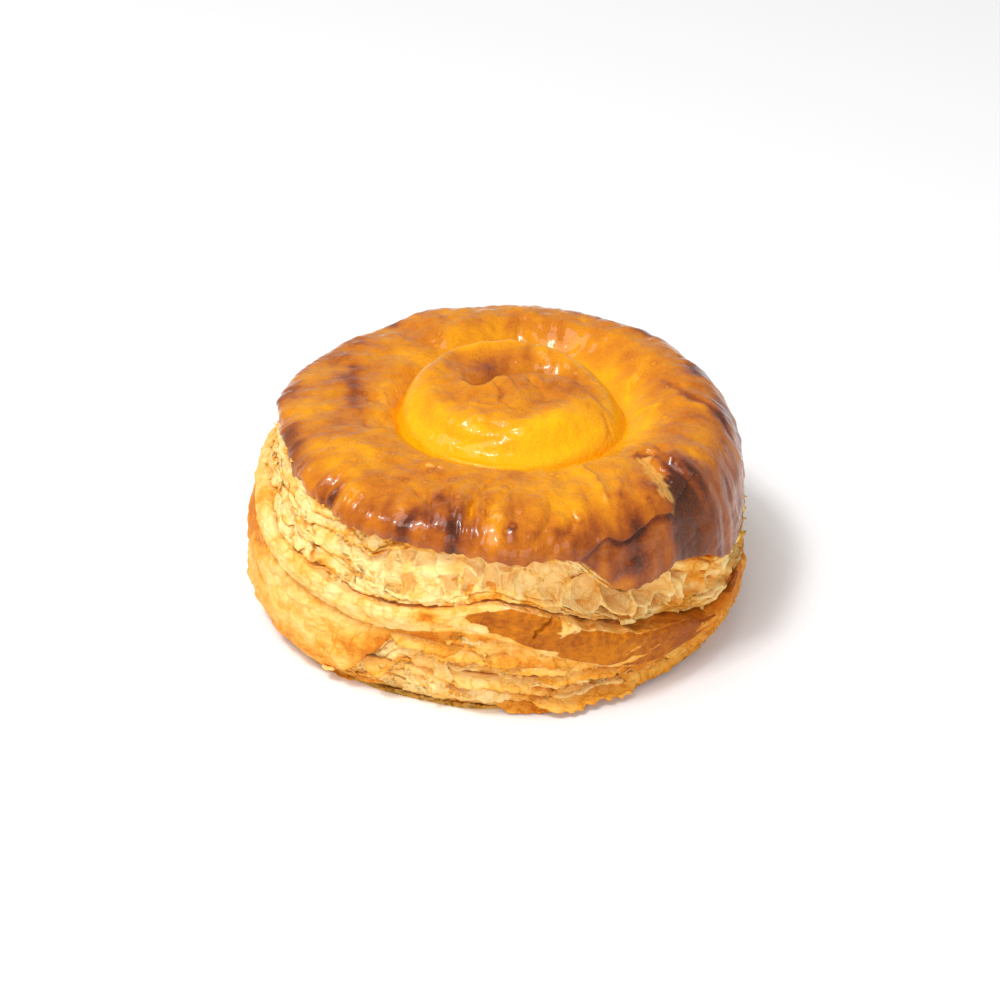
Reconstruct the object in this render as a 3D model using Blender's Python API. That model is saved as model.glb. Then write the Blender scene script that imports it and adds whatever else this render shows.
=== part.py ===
"""A round closed puff pastry, coiled from one long strip of layered dough.

The strip ends in a raised swirl in the middle of the lid. Around the swirl runs a groove, and around the
groove a rounded ring of egg-glazed crust, whose scorched lip hangs over the flaky side. The side shows two
turns of the strip, an upper and a lower one, parted by a seam that sinks towards the right. A glazed tongue
of the upper turn bulges out in front, and a smooth sheet wraps the lower turn on the left and at the back.

The pastry is one solid. It stands on the XY plane, centred on the Z axis. Its front faces -Y. Angles are
degrees round the Z axis: 0 points along +X to the right, 90 to the back, 180 to the left, 270 to the front.
"""

import math
import random

import bmesh
import bpy
import numpy as np

MM = 0.001

# Driving dimensions
SIDE_RADIUS = 54.0 * MM
FOOT_RADIUS = 50.5 * MM
SWIRL_HEIGHT = 50.2 * MM
GROOVE_HEIGHT = 41.6 * MM
CREST_RADIUS = 40.0 * MM

# The lid sits a little to the right of the foot
LID_SHIFT = 1.8 * MM

# The groove is an oval round the swirl, which stands steep at its foot and flat on top
GROOVE_CENTRE = (2.6 * MM, 0.8 * MM)
GROOVE_SEMI_AXES = (25.2 * MM, 26.5 * MM)
SWIRL_STEEPNESS = 4.6
RING_STEEPNESS = 2.6
# The swirl's lobes in front of and behind the crease: centre, half width, half depth and rise, in millimetres
LOBES = ((-2.0, 17.5, 14.0, 6.5, 1.6), (1.0, -4.0, 17.0, 7.0, 0.5))
# Dents and pleats of the ring: degrees, half width in degrees, place from groove to crest, depth in millimetres
RING_DENTS = (
    (120, 5, 0.8, 1.0), (168, 11, 0.75, 1.5), (152, 8, 0.9, 1.1), (318, 5, 0.95, 0.9), (288, 4, 0.8, 0.5),
    (262, 3, 1.0, 0.5), (248, 3, 1.0, 0.4), (20, 6, 0.5, 0.5), (355, 5, 0.5, 0.4),
)
RING_SWAY = 0.45 * MM
CREST_SWAY = 0.7 * MM
LIP_SWAY = 0.5 * MM

# Heights round the rim, as (degrees, millimetres) knots
CREST_HEIGHTS = (
    (0, 45.5), (35, 46.0), (70, 46.4), (90, 46.5), (110, 46.6), (116, 46.2), (124, 44.6), (145, 45.0),
    (175, 46.0), (200, 46.6), (235, 46.8), (270, 47.0), (300, 46.6), (320, 46.0), (340, 45.2),
)
CRUST_LIP_HEIGHTS = (
    (0, 24.5), (20, 29.0), (45, 33.5), (70, 36.5), (95, 38.0), (120, 39.5), (150, 41.0), (180, 42.0),
    (205, 42.5), (230, 41.0), (250, 39.8), (270, 38.3), (284, 36.8), (292, 34.6), (298, 30.6),
    (308, 29.0), (320, 27.6), (332, 23.4), (345, 21.5),
)
SEAM_HEIGHTS = (
    (0, 8.5), (30, 12.5), (60, 18.0), (90, 23.0), (120, 27.0), (150, 30.0), (180, 30.2), (195, 28.2),
    (207, 24.0), (220, 21.8), (232, 20.0), (243, 19.2), (255, 21.0), (268, 20.8), (276, 17.8),
    (286, 13.8), (296, 9.8), (306, 7.4), (320, 7.6), (340, 8.0),
)
SHEET_HEM_HEIGHTS = (
    (0, 4.6), (30, 6.0), (55, 9.0), (75, 9.0), (95, 4.0), (130, 2.6), (200, 2.4), (226, 2.6), (234, 6.0),
    (240, 12.0), (246, 17.4), (258, 15.6), (268, 14.6), (277, 13.0), (286, 9.0), (296, 6.8), (306, 5.2),
    (325, 4.6),
)

# The glazed tongue in front: how tall it stands above the seam, and how far it bulges
TONGUE_RISE = (
    (0, 2.2), (40, 2.6), (75, 5.0), (100, 7.0), (125, 4.0), (150, 2.4), (200, 2.4), (250, 3.0), (260, 5.4),
    (270, 8.4), (279, 9.4), (288, 8.6), (298, 8.6), (308, 7.8), (317, 6.0), (325, 2.6), (336, 3.6),
    (344, 5.0), (352, 2.6),
)
# Where the layers between lip and tongue are torn out into a hollow
HOLLOW_DEPTH = (
    (0, 0.0), (180, 0.0), (225, 0.2), (262, 0.5), (280, 1.4), (288, 3.0), (300, 4.2), (312, 4.0),
    (322, 2.6), (330, 1.0), (345, 0.0),
)
# How far the smooth sheet of the lower turn bulges past the side
SHEET_BULGE = (
    (0, -1.2), (30, -0.8), (60, 0.2), (90, 0.6), (130, 0.8), (165, 1.3), (200, 1.6), (225, 1.0), (236, 0.4),
    (245, -1.0), (270, -0.9), (300, -1.4), (330, -1.6),
)

# The crease where the tip of the strip is tucked under the swirl, seen from above
CREASE = ((-15.0, 14.0), (-9.0, 8.5), (-4.0, 5.0), (1.0, 4.6), (7.0, 5.4), (13.0, 4.0), (20.0, -0.5))
CREASE_DEPTH = 3.0 * MM
CREASE_FRONT_WIDTH, CREASE_BACK_WIDTH = 2.4 * MM, 4.8 * MM
# The small vent in the swirl
VENT_CENTRE = (7.2 * MM, 1.6 * MM)
VENT_LENGTH, VENT_WIDTH, VENT_DEPTH = 2.2 * MM, 1.1 * MM, 1.0 * MM
VENT_TURN = 115

# The leaves of dough that show in each flaky band, and how thick their edges are
UPPER_LEAVES = 4
LOWER_LEAVES = 3
LEAF_RECESS = 1.3 * MM
LEAF_REACH = 0.9 * MM

# The rows of the lid's mesh start at a pole on the front lobe of the swirl
POLE = (1.5 * MM, -4.5 * MM)
COLUMNS = 96
SWIRL_ROWS = 15
RING_ROWS = 6
SHOULDER_ROWS = 7

EGG_GLAZE = (0.62, 0.26, 0.035, 1.0)


def clear_scene():
    for thing in list(bpy.data.objects):
        bpy.data.objects.remove(thing, do_unlink=True)


def smooth_through(places, values, at):
    """Values on a smooth curve through the given places, read at other places."""
    slopes = np.gradient(values, places)
    left = np.clip(np.searchsorted(places, at, side="right") - 1, 0, len(places) - 2)
    span = places[left + 1] - places[left]
    t = np.clip((at - places[left]) / span, 0, 1)
    start, end = values[left], values[left + 1]
    leave, arrive = slopes[left] * span, slopes[left + 1] * span
    rise = t * t * (3 - 2 * t)
    return start + rise * (end - start) + t * (1 - t) * ((1 - t) * leave - t * arrive)


def round_rim(knots, degrees):
    """Metres on a smooth closed curve through (degrees, millimetres) knots round the rim."""
    angle, value = np.array(knots, float).T
    places = np.concatenate((angle[-2:] - 360, angle, angle[:2] + 360))
    values = np.concatenate((value[-2:], value, value[:2]))
    return smooth_through(places, values, degrees) * MM


def waver(degrees, seed, slowest, fastest):
    """An uneven wave round the rim, about -1 to 1, the same for one seed each time."""
    draw = random.Random(seed)
    total = np.zeros_like(degrees)
    for turns in range(slowest, fastest + 1):
        total += draw.uniform(0.5, 1.0) * np.cos(np.radians(turns * degrees) + draw.uniform(0, math.tau))
    return total / math.sqrt(fastest - slowest + 1)


def bell(distance, width):
    """1 in the middle, easing to 0 over about two widths."""
    return np.exp(-((distance / width) ** 2))


def angle_apart(degrees, centre):
    return (degrees - centre + 180) % 360 - 180


def swirl_height(x, y):
    """The swirl in the middle of the lid: two lobes with a crease between them, and a vent."""
    across = (x - GROOVE_CENTRE[0]) / GROOVE_SEMI_AXES[0]
    along = (y - GROOVE_CENTRE[1]) / GROOVE_SEMI_AXES[1]
    share = np.clip(np.hypot(across, along), 0, 1)
    rise = (SWIRL_HEIGHT - GROOVE_HEIGHT) * (1 - share**SWIRL_STEEPNESS)
    places, heights = np.array(CREASE).T * MM
    behind = y - smooth_through(places, heights, np.clip(x, places[0], places[-1]))
    reach = np.clip(1.15 - share, 0, 1) ** 0.5 * bell(x - 2 * MM, 17 * MM)
    valley = bell(behind, np.where(behind > 0, CREASE_BACK_WIDTH, CREASE_FRONT_WIDTH))
    rise = rise - CREASE_DEPTH * reach * valley
    for centre_x, centre_y, wide, deep, high in LOBES:
        lobe = bell(x - centre_x * MM, wide * MM) * bell(y - centre_y * MM, deep * MM)
        rise = rise + lobe * high * MM * (1 - share**8)
    turn = math.radians(VENT_TURN)
    dx, dy = x - VENT_CENTRE[0], y - VENT_CENTRE[1]
    down = dx * math.cos(turn) + dy * math.sin(turn)
    sideways = dy * math.cos(turn) - dx * math.sin(turn)
    vent = VENT_DEPTH * bell(np.hypot(down / VENT_LENGTH, sideways / VENT_WIDTH), 1)
    return GROOVE_HEIGHT + rise - vent


def ring_unevenness(degrees, share):
    """Dents and pleats of the ring, from its inner foot at share 0 to its crest at share 1."""
    total = RING_SWAY * waver(degrees, 11, 3, 9) * share
    for centre, width, place, depth in RING_DENTS:
        total -= depth * MM * bell(angle_apart(degrees, centre), width) * bell(share - place, 0.4)
    return total


def ring_height(degrees, share):
    """The ring's inner slope, steep above the groove and rounding over to the crest."""
    crest = round_rim(CREST_HEIGHTS, degrees)
    climb = 1 - (1 - share) ** RING_STEEPNESS
    return GROOVE_HEIGHT + (crest - GROOVE_HEIGHT) * climb + ring_unevenness(degrees, share)


def crust_lip_height(degrees):
    return round_rim(CRUST_LIP_HEIGHTS, degrees) + LIP_SWAY * waver(degrees, 7, 9, 20)


def lid_rows(degrees):
    """Rows of the lid from the pole out to the crust's lip, each as x, y and z round the rim."""
    cos, sin = np.cos(np.radians(degrees)), np.sin(np.radians(degrees))
    rows = []
    groove = np.array(GROOVE_CENTRE)[:, None] + np.array(GROOVE_SEMI_AXES)[:, None] * np.stack((cos, sin))
    crest_radius = CREST_RADIUS + CREST_SWAY * waver(degrees, 3, 2, 6)
    crest = np.stack((LID_SHIFT + crest_radius * cos, crest_radius * sin))
    pole = np.array(POLE)[:, None]
    for row in range(1, SWIRL_ROWS + 1):
        x, y = pole + (groove - pole) * (row / SWIRL_ROWS) ** 0.85
        rows.append((x, y, swirl_height(x, y)))
    for row in range(1, RING_ROWS + 1):
        share = (row / RING_ROWS) ** 1.2
        x, y = groove + (crest - groove) * share
        rows.append((x, y, ring_height(degrees, np.full_like(degrees, share))))
    lip_radius = SIDE_RADIUS - 1.0 * MM + LIP_SWAY * waver(degrees, 5, 7, 16)
    lip = np.stack((LID_SHIFT * 0.6 + lip_radius * cos, lip_radius * sin))
    lip_height = crust_lip_height(degrees)
    crest_height = rows[-1][2]
    for row in range(1, SHOULDER_ROWS + 1):
        turn = row / SHOULDER_ROWS * math.pi / 2
        out, down = math.sin(turn) ** 0.85, 1 - math.cos(turn) ** 0.85
        x, y = crest + (lip - crest) * out
        rows.append((x, y, crest_height + (lip_height - crest_height) * down))
    return rows


def side_radius(degrees, height):
    """The side's outline, bulging at mid height and drawn in at the foot."""
    share = np.clip(height / (40 * MM), 0, 1)
    foot = (1 - np.clip(height / (9 * MM), 0, 1)) ** 2
    mid = SIDE_RADIUS + 0.5 * MM * np.sin(share * math.pi)
    return mid - (SIDE_RADIUS - FOOT_RADIUS) * foot + 0.35 * MM * waver(degrees, 17, 2, 6)


def leaf_rows(degrees, top, bottom, leaves, seed, inset):
    """Rows of stacked leaves between two heights: each leaf has a recess above it, an edge and an underside."""
    rows = []
    for leaf in range(leaves):
        sway = 0.16 * waver(degrees, seed + leaf, 2, 9)
        start = top + (bottom - top) * np.clip((leaf + 0.12 + sway * 0.5) / leaves, 0, 1)
        edge = top + (bottom - top) * np.clip((leaf + 0.45 + sway) / leaves, 0, 1)
        lip = top + (bottom - top) * np.clip((leaf + 0.9 + sway) / leaves, 0, 1)
        reach = LEAF_REACH * (waver(degrees, seed + 30 + leaf, 3, 14) + 0.5 * waver(degrees, seed + 90 + leaf, 20, 40))
        room = np.clip((top - bottom) / leaves / (1.6 * MM), 0.25, 1)
        recess = LEAF_RECESS * room * (1 + 0.4 * waver(degrees, seed + 60 + leaf, 5, 15))
        out = side_radius(degrees, edge) - inset + reach * room
        rows.append((out - recess, start))
        rows.append((out - 0.25 * recess, edge))
        rows.append((out, lip))
    return rows


def side_rows(degrees):
    """Rows of the side from under the crust's lip down to the foot, each as radius and height round the rim."""
    lip = crust_lip_height(degrees)
    seam = round_rim(SEAM_HEIGHTS, degrees)
    hem = round_rim(SHEET_HEM_HEIGHTS, degrees)
    tongue = np.minimum(seam + round_rim(TONGUE_RISE, degrees), lip - 3 * MM)
    hollow = round_rim(HOLLOW_DEPTH, degrees)
    rows = [(side_radius(degrees, lip) - 2.6 * MM, lip - 0.3 * MM)]
    rows += leaf_rows(degrees, lip - 0.6 * MM, tongue + 0.5 * MM, UPPER_LEAVES, 100, 0.6 * MM + hollow)
    bulge = 0.6 * MM + 0.3 * MM * waver(degrees, 41, 3, 9)
    rows.append((side_radius(degrees, tongue) - 0.9 * MM - 0.5 * hollow, tongue))
    for share, swell in ((0.75, 0.25), (0.45, 1.0), (0.15, 0.8)):
        height = seam + (tongue - seam) * share
        rows.append((side_radius(degrees, height) + bulge * swell, height))
    rows.append((side_radius(degrees, seam) - 2.4 * MM, seam + 0.1 * MM))
    belly = round_rim(SHEET_BULGE, degrees)
    for share, swell in ((0.9, 0.1), (0.62, 0.85), (0.3, 1.0), (0.06, 0.75)):
        height = hem + (seam - hem) * share
        rows.append((side_radius(degrees, height) - 0.9 * MM * (1 - swell) + belly * swell, height))
    rows.append((side_radius(degrees, hem) - 1.9 * MM + 0.5 * belly, hem - 0.2 * MM))
    rows += leaf_rows(degrees, hem - 0.4 * MM, np.full_like(degrees, 0.9 * MM), LOWER_LEAVES, 200, 0.9 * MM)
    foot = FOOT_RADIUS + 0.5 * MM * waver(degrees, 71, 5, 14)
    rows.append((foot, np.full_like(degrees, 0.45 * MM)))
    rows.append((foot - 0.5 * MM, np.zeros_like(degrees)))
    return rows


def pastry_mesh():
    """The whole pastry as loops of points joined by quads, with a fan at the pole and a flat foot."""
    degrees = np.arange(COLUMNS) * 360.0 / COLUMNS
    cos, sin = np.cos(np.radians(degrees)), np.sin(np.radians(degrees))
    loops = lid_rows(degrees)
    for radius, height in side_rows(degrees):
        loops.append((radius * cos, radius * sin, height))
    work = bmesh.new()
    pole = work.verts.new((*POLE, float(swirl_height(*map(np.array, POLE)))))
    rings = [[work.verts.new(point) for point in np.stack(loop, axis=1)] for loop in loops]
    for column in range(COLUMNS):
        following = (column + 1) % COLUMNS
        work.faces.new((pole, rings[0][column], rings[0][following]))
        for upper, lower in zip(rings, rings[1:]):
            work.faces.new((upper[column], lower[column], lower[following], upper[following]))
    work.faces.new(tuple(reversed(rings[-1])))
    bmesh.ops.triangulate(work, faces=[face for face in work.faces if len(face.verts) == 4])
    mesh = bpy.data.meshes.new("puff_pastry")
    work.to_mesh(mesh)
    work.free()
    return mesh


def crust_material():
    material = bpy.data.materials.new("egg_glazed_crust")
    material.use_nodes = True
    shader = material.node_tree.nodes["Principled BSDF"]
    shader.inputs["Base Color"].default_value = EGG_GLAZE
    shader.inputs["Roughness"].default_value = 0.4
    shader.inputs["Metallic"].default_value = 0.0
    return material


def build_pastry():
    pastry = bpy.data.objects.new("puff_pastry", pastry_mesh())
    bpy.context.scene.collection.objects.link(pastry)
    pastry.data.materials.append(crust_material())
    pastry.data.shade_smooth()
    pastry.data.set_sharp_from_angle(angle=math.radians(50))
    return pastry


clear_scene()
build_pastry()
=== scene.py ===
import math
import random
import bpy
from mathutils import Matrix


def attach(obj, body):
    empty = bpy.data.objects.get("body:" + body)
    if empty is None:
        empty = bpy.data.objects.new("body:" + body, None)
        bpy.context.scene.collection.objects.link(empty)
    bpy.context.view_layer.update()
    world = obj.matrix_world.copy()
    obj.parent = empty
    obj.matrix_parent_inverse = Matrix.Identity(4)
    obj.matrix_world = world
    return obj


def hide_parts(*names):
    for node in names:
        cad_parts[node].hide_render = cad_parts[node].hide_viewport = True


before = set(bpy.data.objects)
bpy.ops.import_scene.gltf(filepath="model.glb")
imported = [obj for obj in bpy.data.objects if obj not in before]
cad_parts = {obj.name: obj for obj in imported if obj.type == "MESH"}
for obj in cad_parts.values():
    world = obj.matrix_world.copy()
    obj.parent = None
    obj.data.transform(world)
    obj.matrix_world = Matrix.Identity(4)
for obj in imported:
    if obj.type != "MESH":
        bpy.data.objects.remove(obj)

from types import SimpleNamespace

import bmesh
import bpy
import numpy as np
from bpy.props import FloatProperty, FloatVectorProperty, IntProperty, PointerProperty
from mathutils import Vector

bl_info = {
    "name": "Round puff pastry",
    "version": (1, 0, 0),
    "blender": (4, 5, 0),
    "location": "3D View > Sidebar > Pastry",
    "description": "Builds a closed round puff pastry with an egg-glazed lid and torn, flaky sides",
    "category": "Add Mesh",
}

MM = 0.001
# The radius that patterns on the side are laid out for
PATTERN_RADIUS = 54 * MM
# Flakes only grow above this height, so that none reaches below the foot
FLAKES_ABOVE = 2.6 * MM
FLAKE_SHAPES = 5
# Where the ring ends and the crust's edge begins, as a share of the way from the crest to the lip
EDGE_TURN = 0.42
EDGE_ROWS = 84
TONGUE_ROWS = 44
NODE = "puff_pastry"


def paint(red, green, blue):
    """A linear colour from the 0 to 255 numbers of a paint chart."""
    linear = [((c / 255 + 0.055) / 1.055) ** 2.4 if c > 10 else c / 255 / 12.92 for c in (red, green, blue)]
    return (*linear, 1.0)


# Shapes round the rim, as (degrees, millimetres) knots

CREST_HEIGHTS = (
    (0, 45.5), (35, 46.0), (70, 46.4), (90, 46.5), (108, 46.8), (114, 46.4), (121, 45.0), (145, 44.6),
    (168, 45.0), (185, 45.8), (205, 46.6), (235, 46.8), (270, 47.0), (300, 46.6), (320, 46.0), (340, 45.2),
)
# How far in from the side the crust's lip ends, as (degrees, millimetres)
LIP_INSET = (
    (0, 1.0), (95, 1.0), (120, 1.4), (150, 2.2), (168, 2.8), (180, 4.2), (195, 5.2), (208, 4.4), (222, 2.6),
    (240, 1.2), (285, 0.6), (300, 0.0), (325, 0.2), (345, 0.6),
)
# How far in the flaky side is drawn under that lip
SIDE_INSET = (
    (0, 0.8), (95, 1.6), (115, 4.0), (140, 5.6), (160, 5.4), (175, 4.8), (190, 4.8), (205, 4.6), (222, 3.2),
    (240, 2.2), (262, 1.6), (285, 0.8), (300, 0.0), (345, 0.4),
)
CRUST_LIP_HEIGHTS = (
    (0, 23.5), (20, 29.0), (45, 33.5), (70, 36.5), (95, 38.0), (120, 39.0), (150, 39.6), (180, 40.6),
    (200, 41.6), (215, 41.6), (230, 41.0), (250, 39.8), (270, 38.8), (282, 37.6), (288, 35.6),
    (292.5, 31.6), (297, 27.6), (304, 26.6), (309, 27.4), (313, 28.2), (318, 26.8), (324, 26.4),
    (330, 23.4), (338, 20.6), (348, 20.8),
)
SEAM_HEIGHTS = (
    (0, 8.5), (30, 12.5), (60, 18.0), (90, 23.0), (120, 27.0), (150, 30.0), (180, 30.2), (195, 28.2),
    (207, 24.0), (220, 21.8), (232, 20.0), (243, 19.2), (255, 21.0), (268, 20.8), (276, 17.8), (286, 13.8),
    (296, 9.8), (306, 7.4), (320, 7.6), (340, 8.0),
)
SHEET_HEM_HEIGHTS = (
    (0, 4.6), (30, 6.0), (55, 9.0), (75, 9.0), (95, 4.0), (130, 2.6), (200, 2.4), (226, 2.6), (234, 6.0),
    (240, 12.0), (246, 17.4), (258, 15.6), (268, 14.6), (277, 13.0), (286, 9.0), (296, 6.8), (306, 5.2),
    (325, 4.6),
)
TONGUE_RISE = (
    (0, 2.2), (40, 2.6), (75, 5.0), (100, 7.0), (125, 4.0), (150, 2.8), (180, 3.6), (200, 5.4), (225, 6.4),
    (245, 5.8), (258, 5.6), (270, 8.4), (279, 9.4), (288, 8.6), (298, 8.6), (308, 7.8), (317, 6.0),
    (325, 2.6), (336, 3.6), (344, 5.0), (352, 2.6),
)
HOLLOW_DEPTH = (
    (0, 0.0), (180, 0.0), (225, 0.2), (262, 0.5), (280, 1.4), (288, 3.4), (300, 4.6), (312, 4.6),
    (322, 3.6), (330, 1.6), (345, 0.0),
)
SHEET_BULGE = (
    (0, -1.2), (30, -0.8), (60, 0.2), (90, 0.6), (130, 0.8), (165, 1.3), (200, 1.6), (225, 1.0), (236, 0.4),
    (245, -1.0), (270, -0.9), (300, -1.4), (330, -1.6),
)

# The swirl

GROOVE_CENTRE = (2.6 * MM, 0.8 * MM)
GROOVE_SEMI_AXES = (25.2 * MM, 26.5 * MM)
POLE = (1.5 * MM, -4.5 * MM)
CREASE = (
    (-15.0, 8.0), (-9.0, 2.5), (-5.2, -0.6), (0.0, 3.0), (4.4, 4.9), (9.9, 5.8), (13.2, 5.3), (18.1, 0.3),
    (22.9, -5.9),
)
# Lobes of the swirl: centre, half width, half depth and rise, in millimetres
LOBES = (
    (-3.5, 13.0, 8.0, 4.6, -1.6), (2.0, 0.5, 15.0, 4.5, 0.8), (-12.0, -4.0, 7.0, 9.0, -0.9),
    (0.0, -19.0, 16.0, 4.5, -1.3),
)
# How steeply the ring's inner side climbs out of the groove, as (degrees, power)
RING_STEEPNESS = (
    (0, 1.9), (30, 1.5), (60, 1.3), (95, 1.5), (118, 2.6), (140, 4.0), (180, 4.6), (210, 6.5), (280, 6.5),
    (305, 5.0), (322, 3.4), (340, 2.4),
)
# How far the groove dips below its front, as (degrees, millimetres)
GROOVE_DIP = ((0, 1.2), (40, 2.8), (70, 3.2), (100, 2.4), (130, 0.8), (160, 0.0), (300, 0.0), (335, 0.4))
# Short folds on the swirl: centre, length, width, turn in degrees and depth (below 0 is a ridge)
SWIRL_FOLDS = (
    (7.2, 1.6, 2.2, 0.8, 115, 1.1), (8.6, 1.9, 2.4, 0.7, 112, -0.5), (3.2, 0.4, 3.0, 0.5, 110, 0.45),
    (1.8, 1.2, 2.4, 0.6, 118, -0.3), (-1.0, 3.2, 2.0, 0.9, 30, -0.5), (14.0, -1.5, 2.6, 0.8, 120, 0.3),
    (-6.0, -13.0, 3.4, 0.7, 20, -0.35), (4.0, -16.5, 4.0, 0.6, 5, -0.3), (-15.0, 2.0, 3.0, 0.9, 70, 0.35),
)

# Folds that run over the swirl: height, half width and change of colour, then the points they run through.
# The change of colour is mostly paler on a ridge, a painted highlight, and darker in a crease, painted shade.
SWIRL_LINES = (
    (2.8, 3.8, -0.04, ((-20.0, -4.0), (-18.0, 8.0), (-11.5, 17.5), (-2.0, 21.6), (8.0, 20.2),
        (15.0, 14.0))),
    (-0.8, 1.8, 0.08, ((11.0, -1.0), (8.0, -7.5), (4.0, -14.0))),
    (0.6, 2.4, -0.06, ((15.0, -9.0), (12.0, -14.5), (7.0, -18.0))),
    (-0.5, 0.55, 0.12, ((22.4, -6.5), (24.0, -9.4), (23.2, -12.0))),
    (-0.5, 0.5, 0.12, ((-1.2, 0.8), (0.6, -3.0), (0.0, -6.0), (3.0, -9.9))),
    (0.4, 0.8, -0.06, ((-5.0, -12.4), (1.0, -14.6), (7.0, -14.0))),
    (0.5, 1.6, -0.04, ((-13.0, 10.0), (-15.5, 0.0), (-13.0, -9.0))),
    (-0.4, 1.2, 0.04, ((-8.5, 6.0), (-10.5, -1.0), (-8.0, -8.0))),
    (-0.5, 0.9, 0.1, ((17.0, 8.0), (20.5, 2.0), (21.0, -3.0))),
    (0.5, 1.0, -0.06, ((-15.0, -12.0), (-9.0, -18.4), (-1.0, -21.4), (8.0, -21.6))),
    (-0.35, 0.6, 0.05, ((-12.0, -13.6), (-6.0, -17.4), (1.0, -18.6))),
    (-0.5, 1.0, 0.12, ((6.6, 15.0), (7.4, 19.0), (7.0, 23.0))),
    (0.35, 0.6, -0.03, ((-6.0, -7.0), (-2.0, -8.6), (1.6, -8.0))),
)

# Dents and pleats of the ring: degrees, half width in degrees, place from groove to crest, depth in mm
RING_DENTS = (
    (120, 5, 0.8, 1.0), (168, 11, 0.75, 1.3), (152, 8, 0.9, 1.1), (318, 5, 0.95, 0.9), (288, 4, 0.8, 0.5),
    (262, 3, 1.0, 0.5), (248, 3, 1.0, 0.4), (20, 6, 0.5, 0.5), (355, 5, 0.5, 0.4), (70, 20, 0.5, 1.2),
    (193, 8, 0.25, 1.5), (205, 4, 0.35, -0.6), (140, 9, 0.3, -0.5), (342, 7, 0.3, 0.9), (325, 4, 0.2, -0.5),
)
# Pleats that run out over the crust's edge: degrees, half width, radius in mm, half length, depth, slant
CRUST_PLEATS = (
    (249.5, 0.9, 45.5, 4.0, 0.9, 0.5), (252.0, 1.3, 45.0, 4.0, -0.5, 0.5),
    (255.0, 0.7, 44.0, 5.0, 0.7, 0.4), (258.0, 1.2, 44.5, 4.5, -0.5, 0.3),
    (261.0, 0.8, 45.5, 4.2, 0.8, 0.2), (264.0, 1.4, 46.0, 4.0, -0.35, 0.1),
    (244.0, 1.6, 42.0, 1.8, 0.7, 1.6), (236.0, 1.2, 48.0, 2.4, 0.5, 0.6), (272.0, 0.9, 47.0, 2.8, 0.5, 0.0),
    (281.0, 1.2, 48.0, 3.2, 0.6, -0.3), (290.0, 1.5, 46.0, 3.5, -0.5, -0.4),
    (307.0, 1.4, 44.0, 3.2, 0.5, -0.6), (224.0, 1.0, 49.0, 2.2, 0.5, 0.4),
    (214.0, 1.2, 48.5, 2.4, 0.5, 0.3), (203.0, 1.3, 49.0, 2.2, 0.5, 0.0), (333.0, 2.0, 46.0, 3.0, 0.5, 0.5),
    (10.0, 2.2, 45.0, 3.5, 0.5, -0.4), (45.0, 1.6, 46.0, 3.0, 0.4, 0.3), (66.0, 2.0, 44.0, 3.0, 0.5, 0.4),
    (98.0, 1.4, 46.0, 3.2, 0.4, -0.2), (140.0, 2.0, 45.0, 3.0, 0.5, 0.3),
    (182.0, 1.8, 46.0, 3.0, 0.5, -0.3),
)
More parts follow.
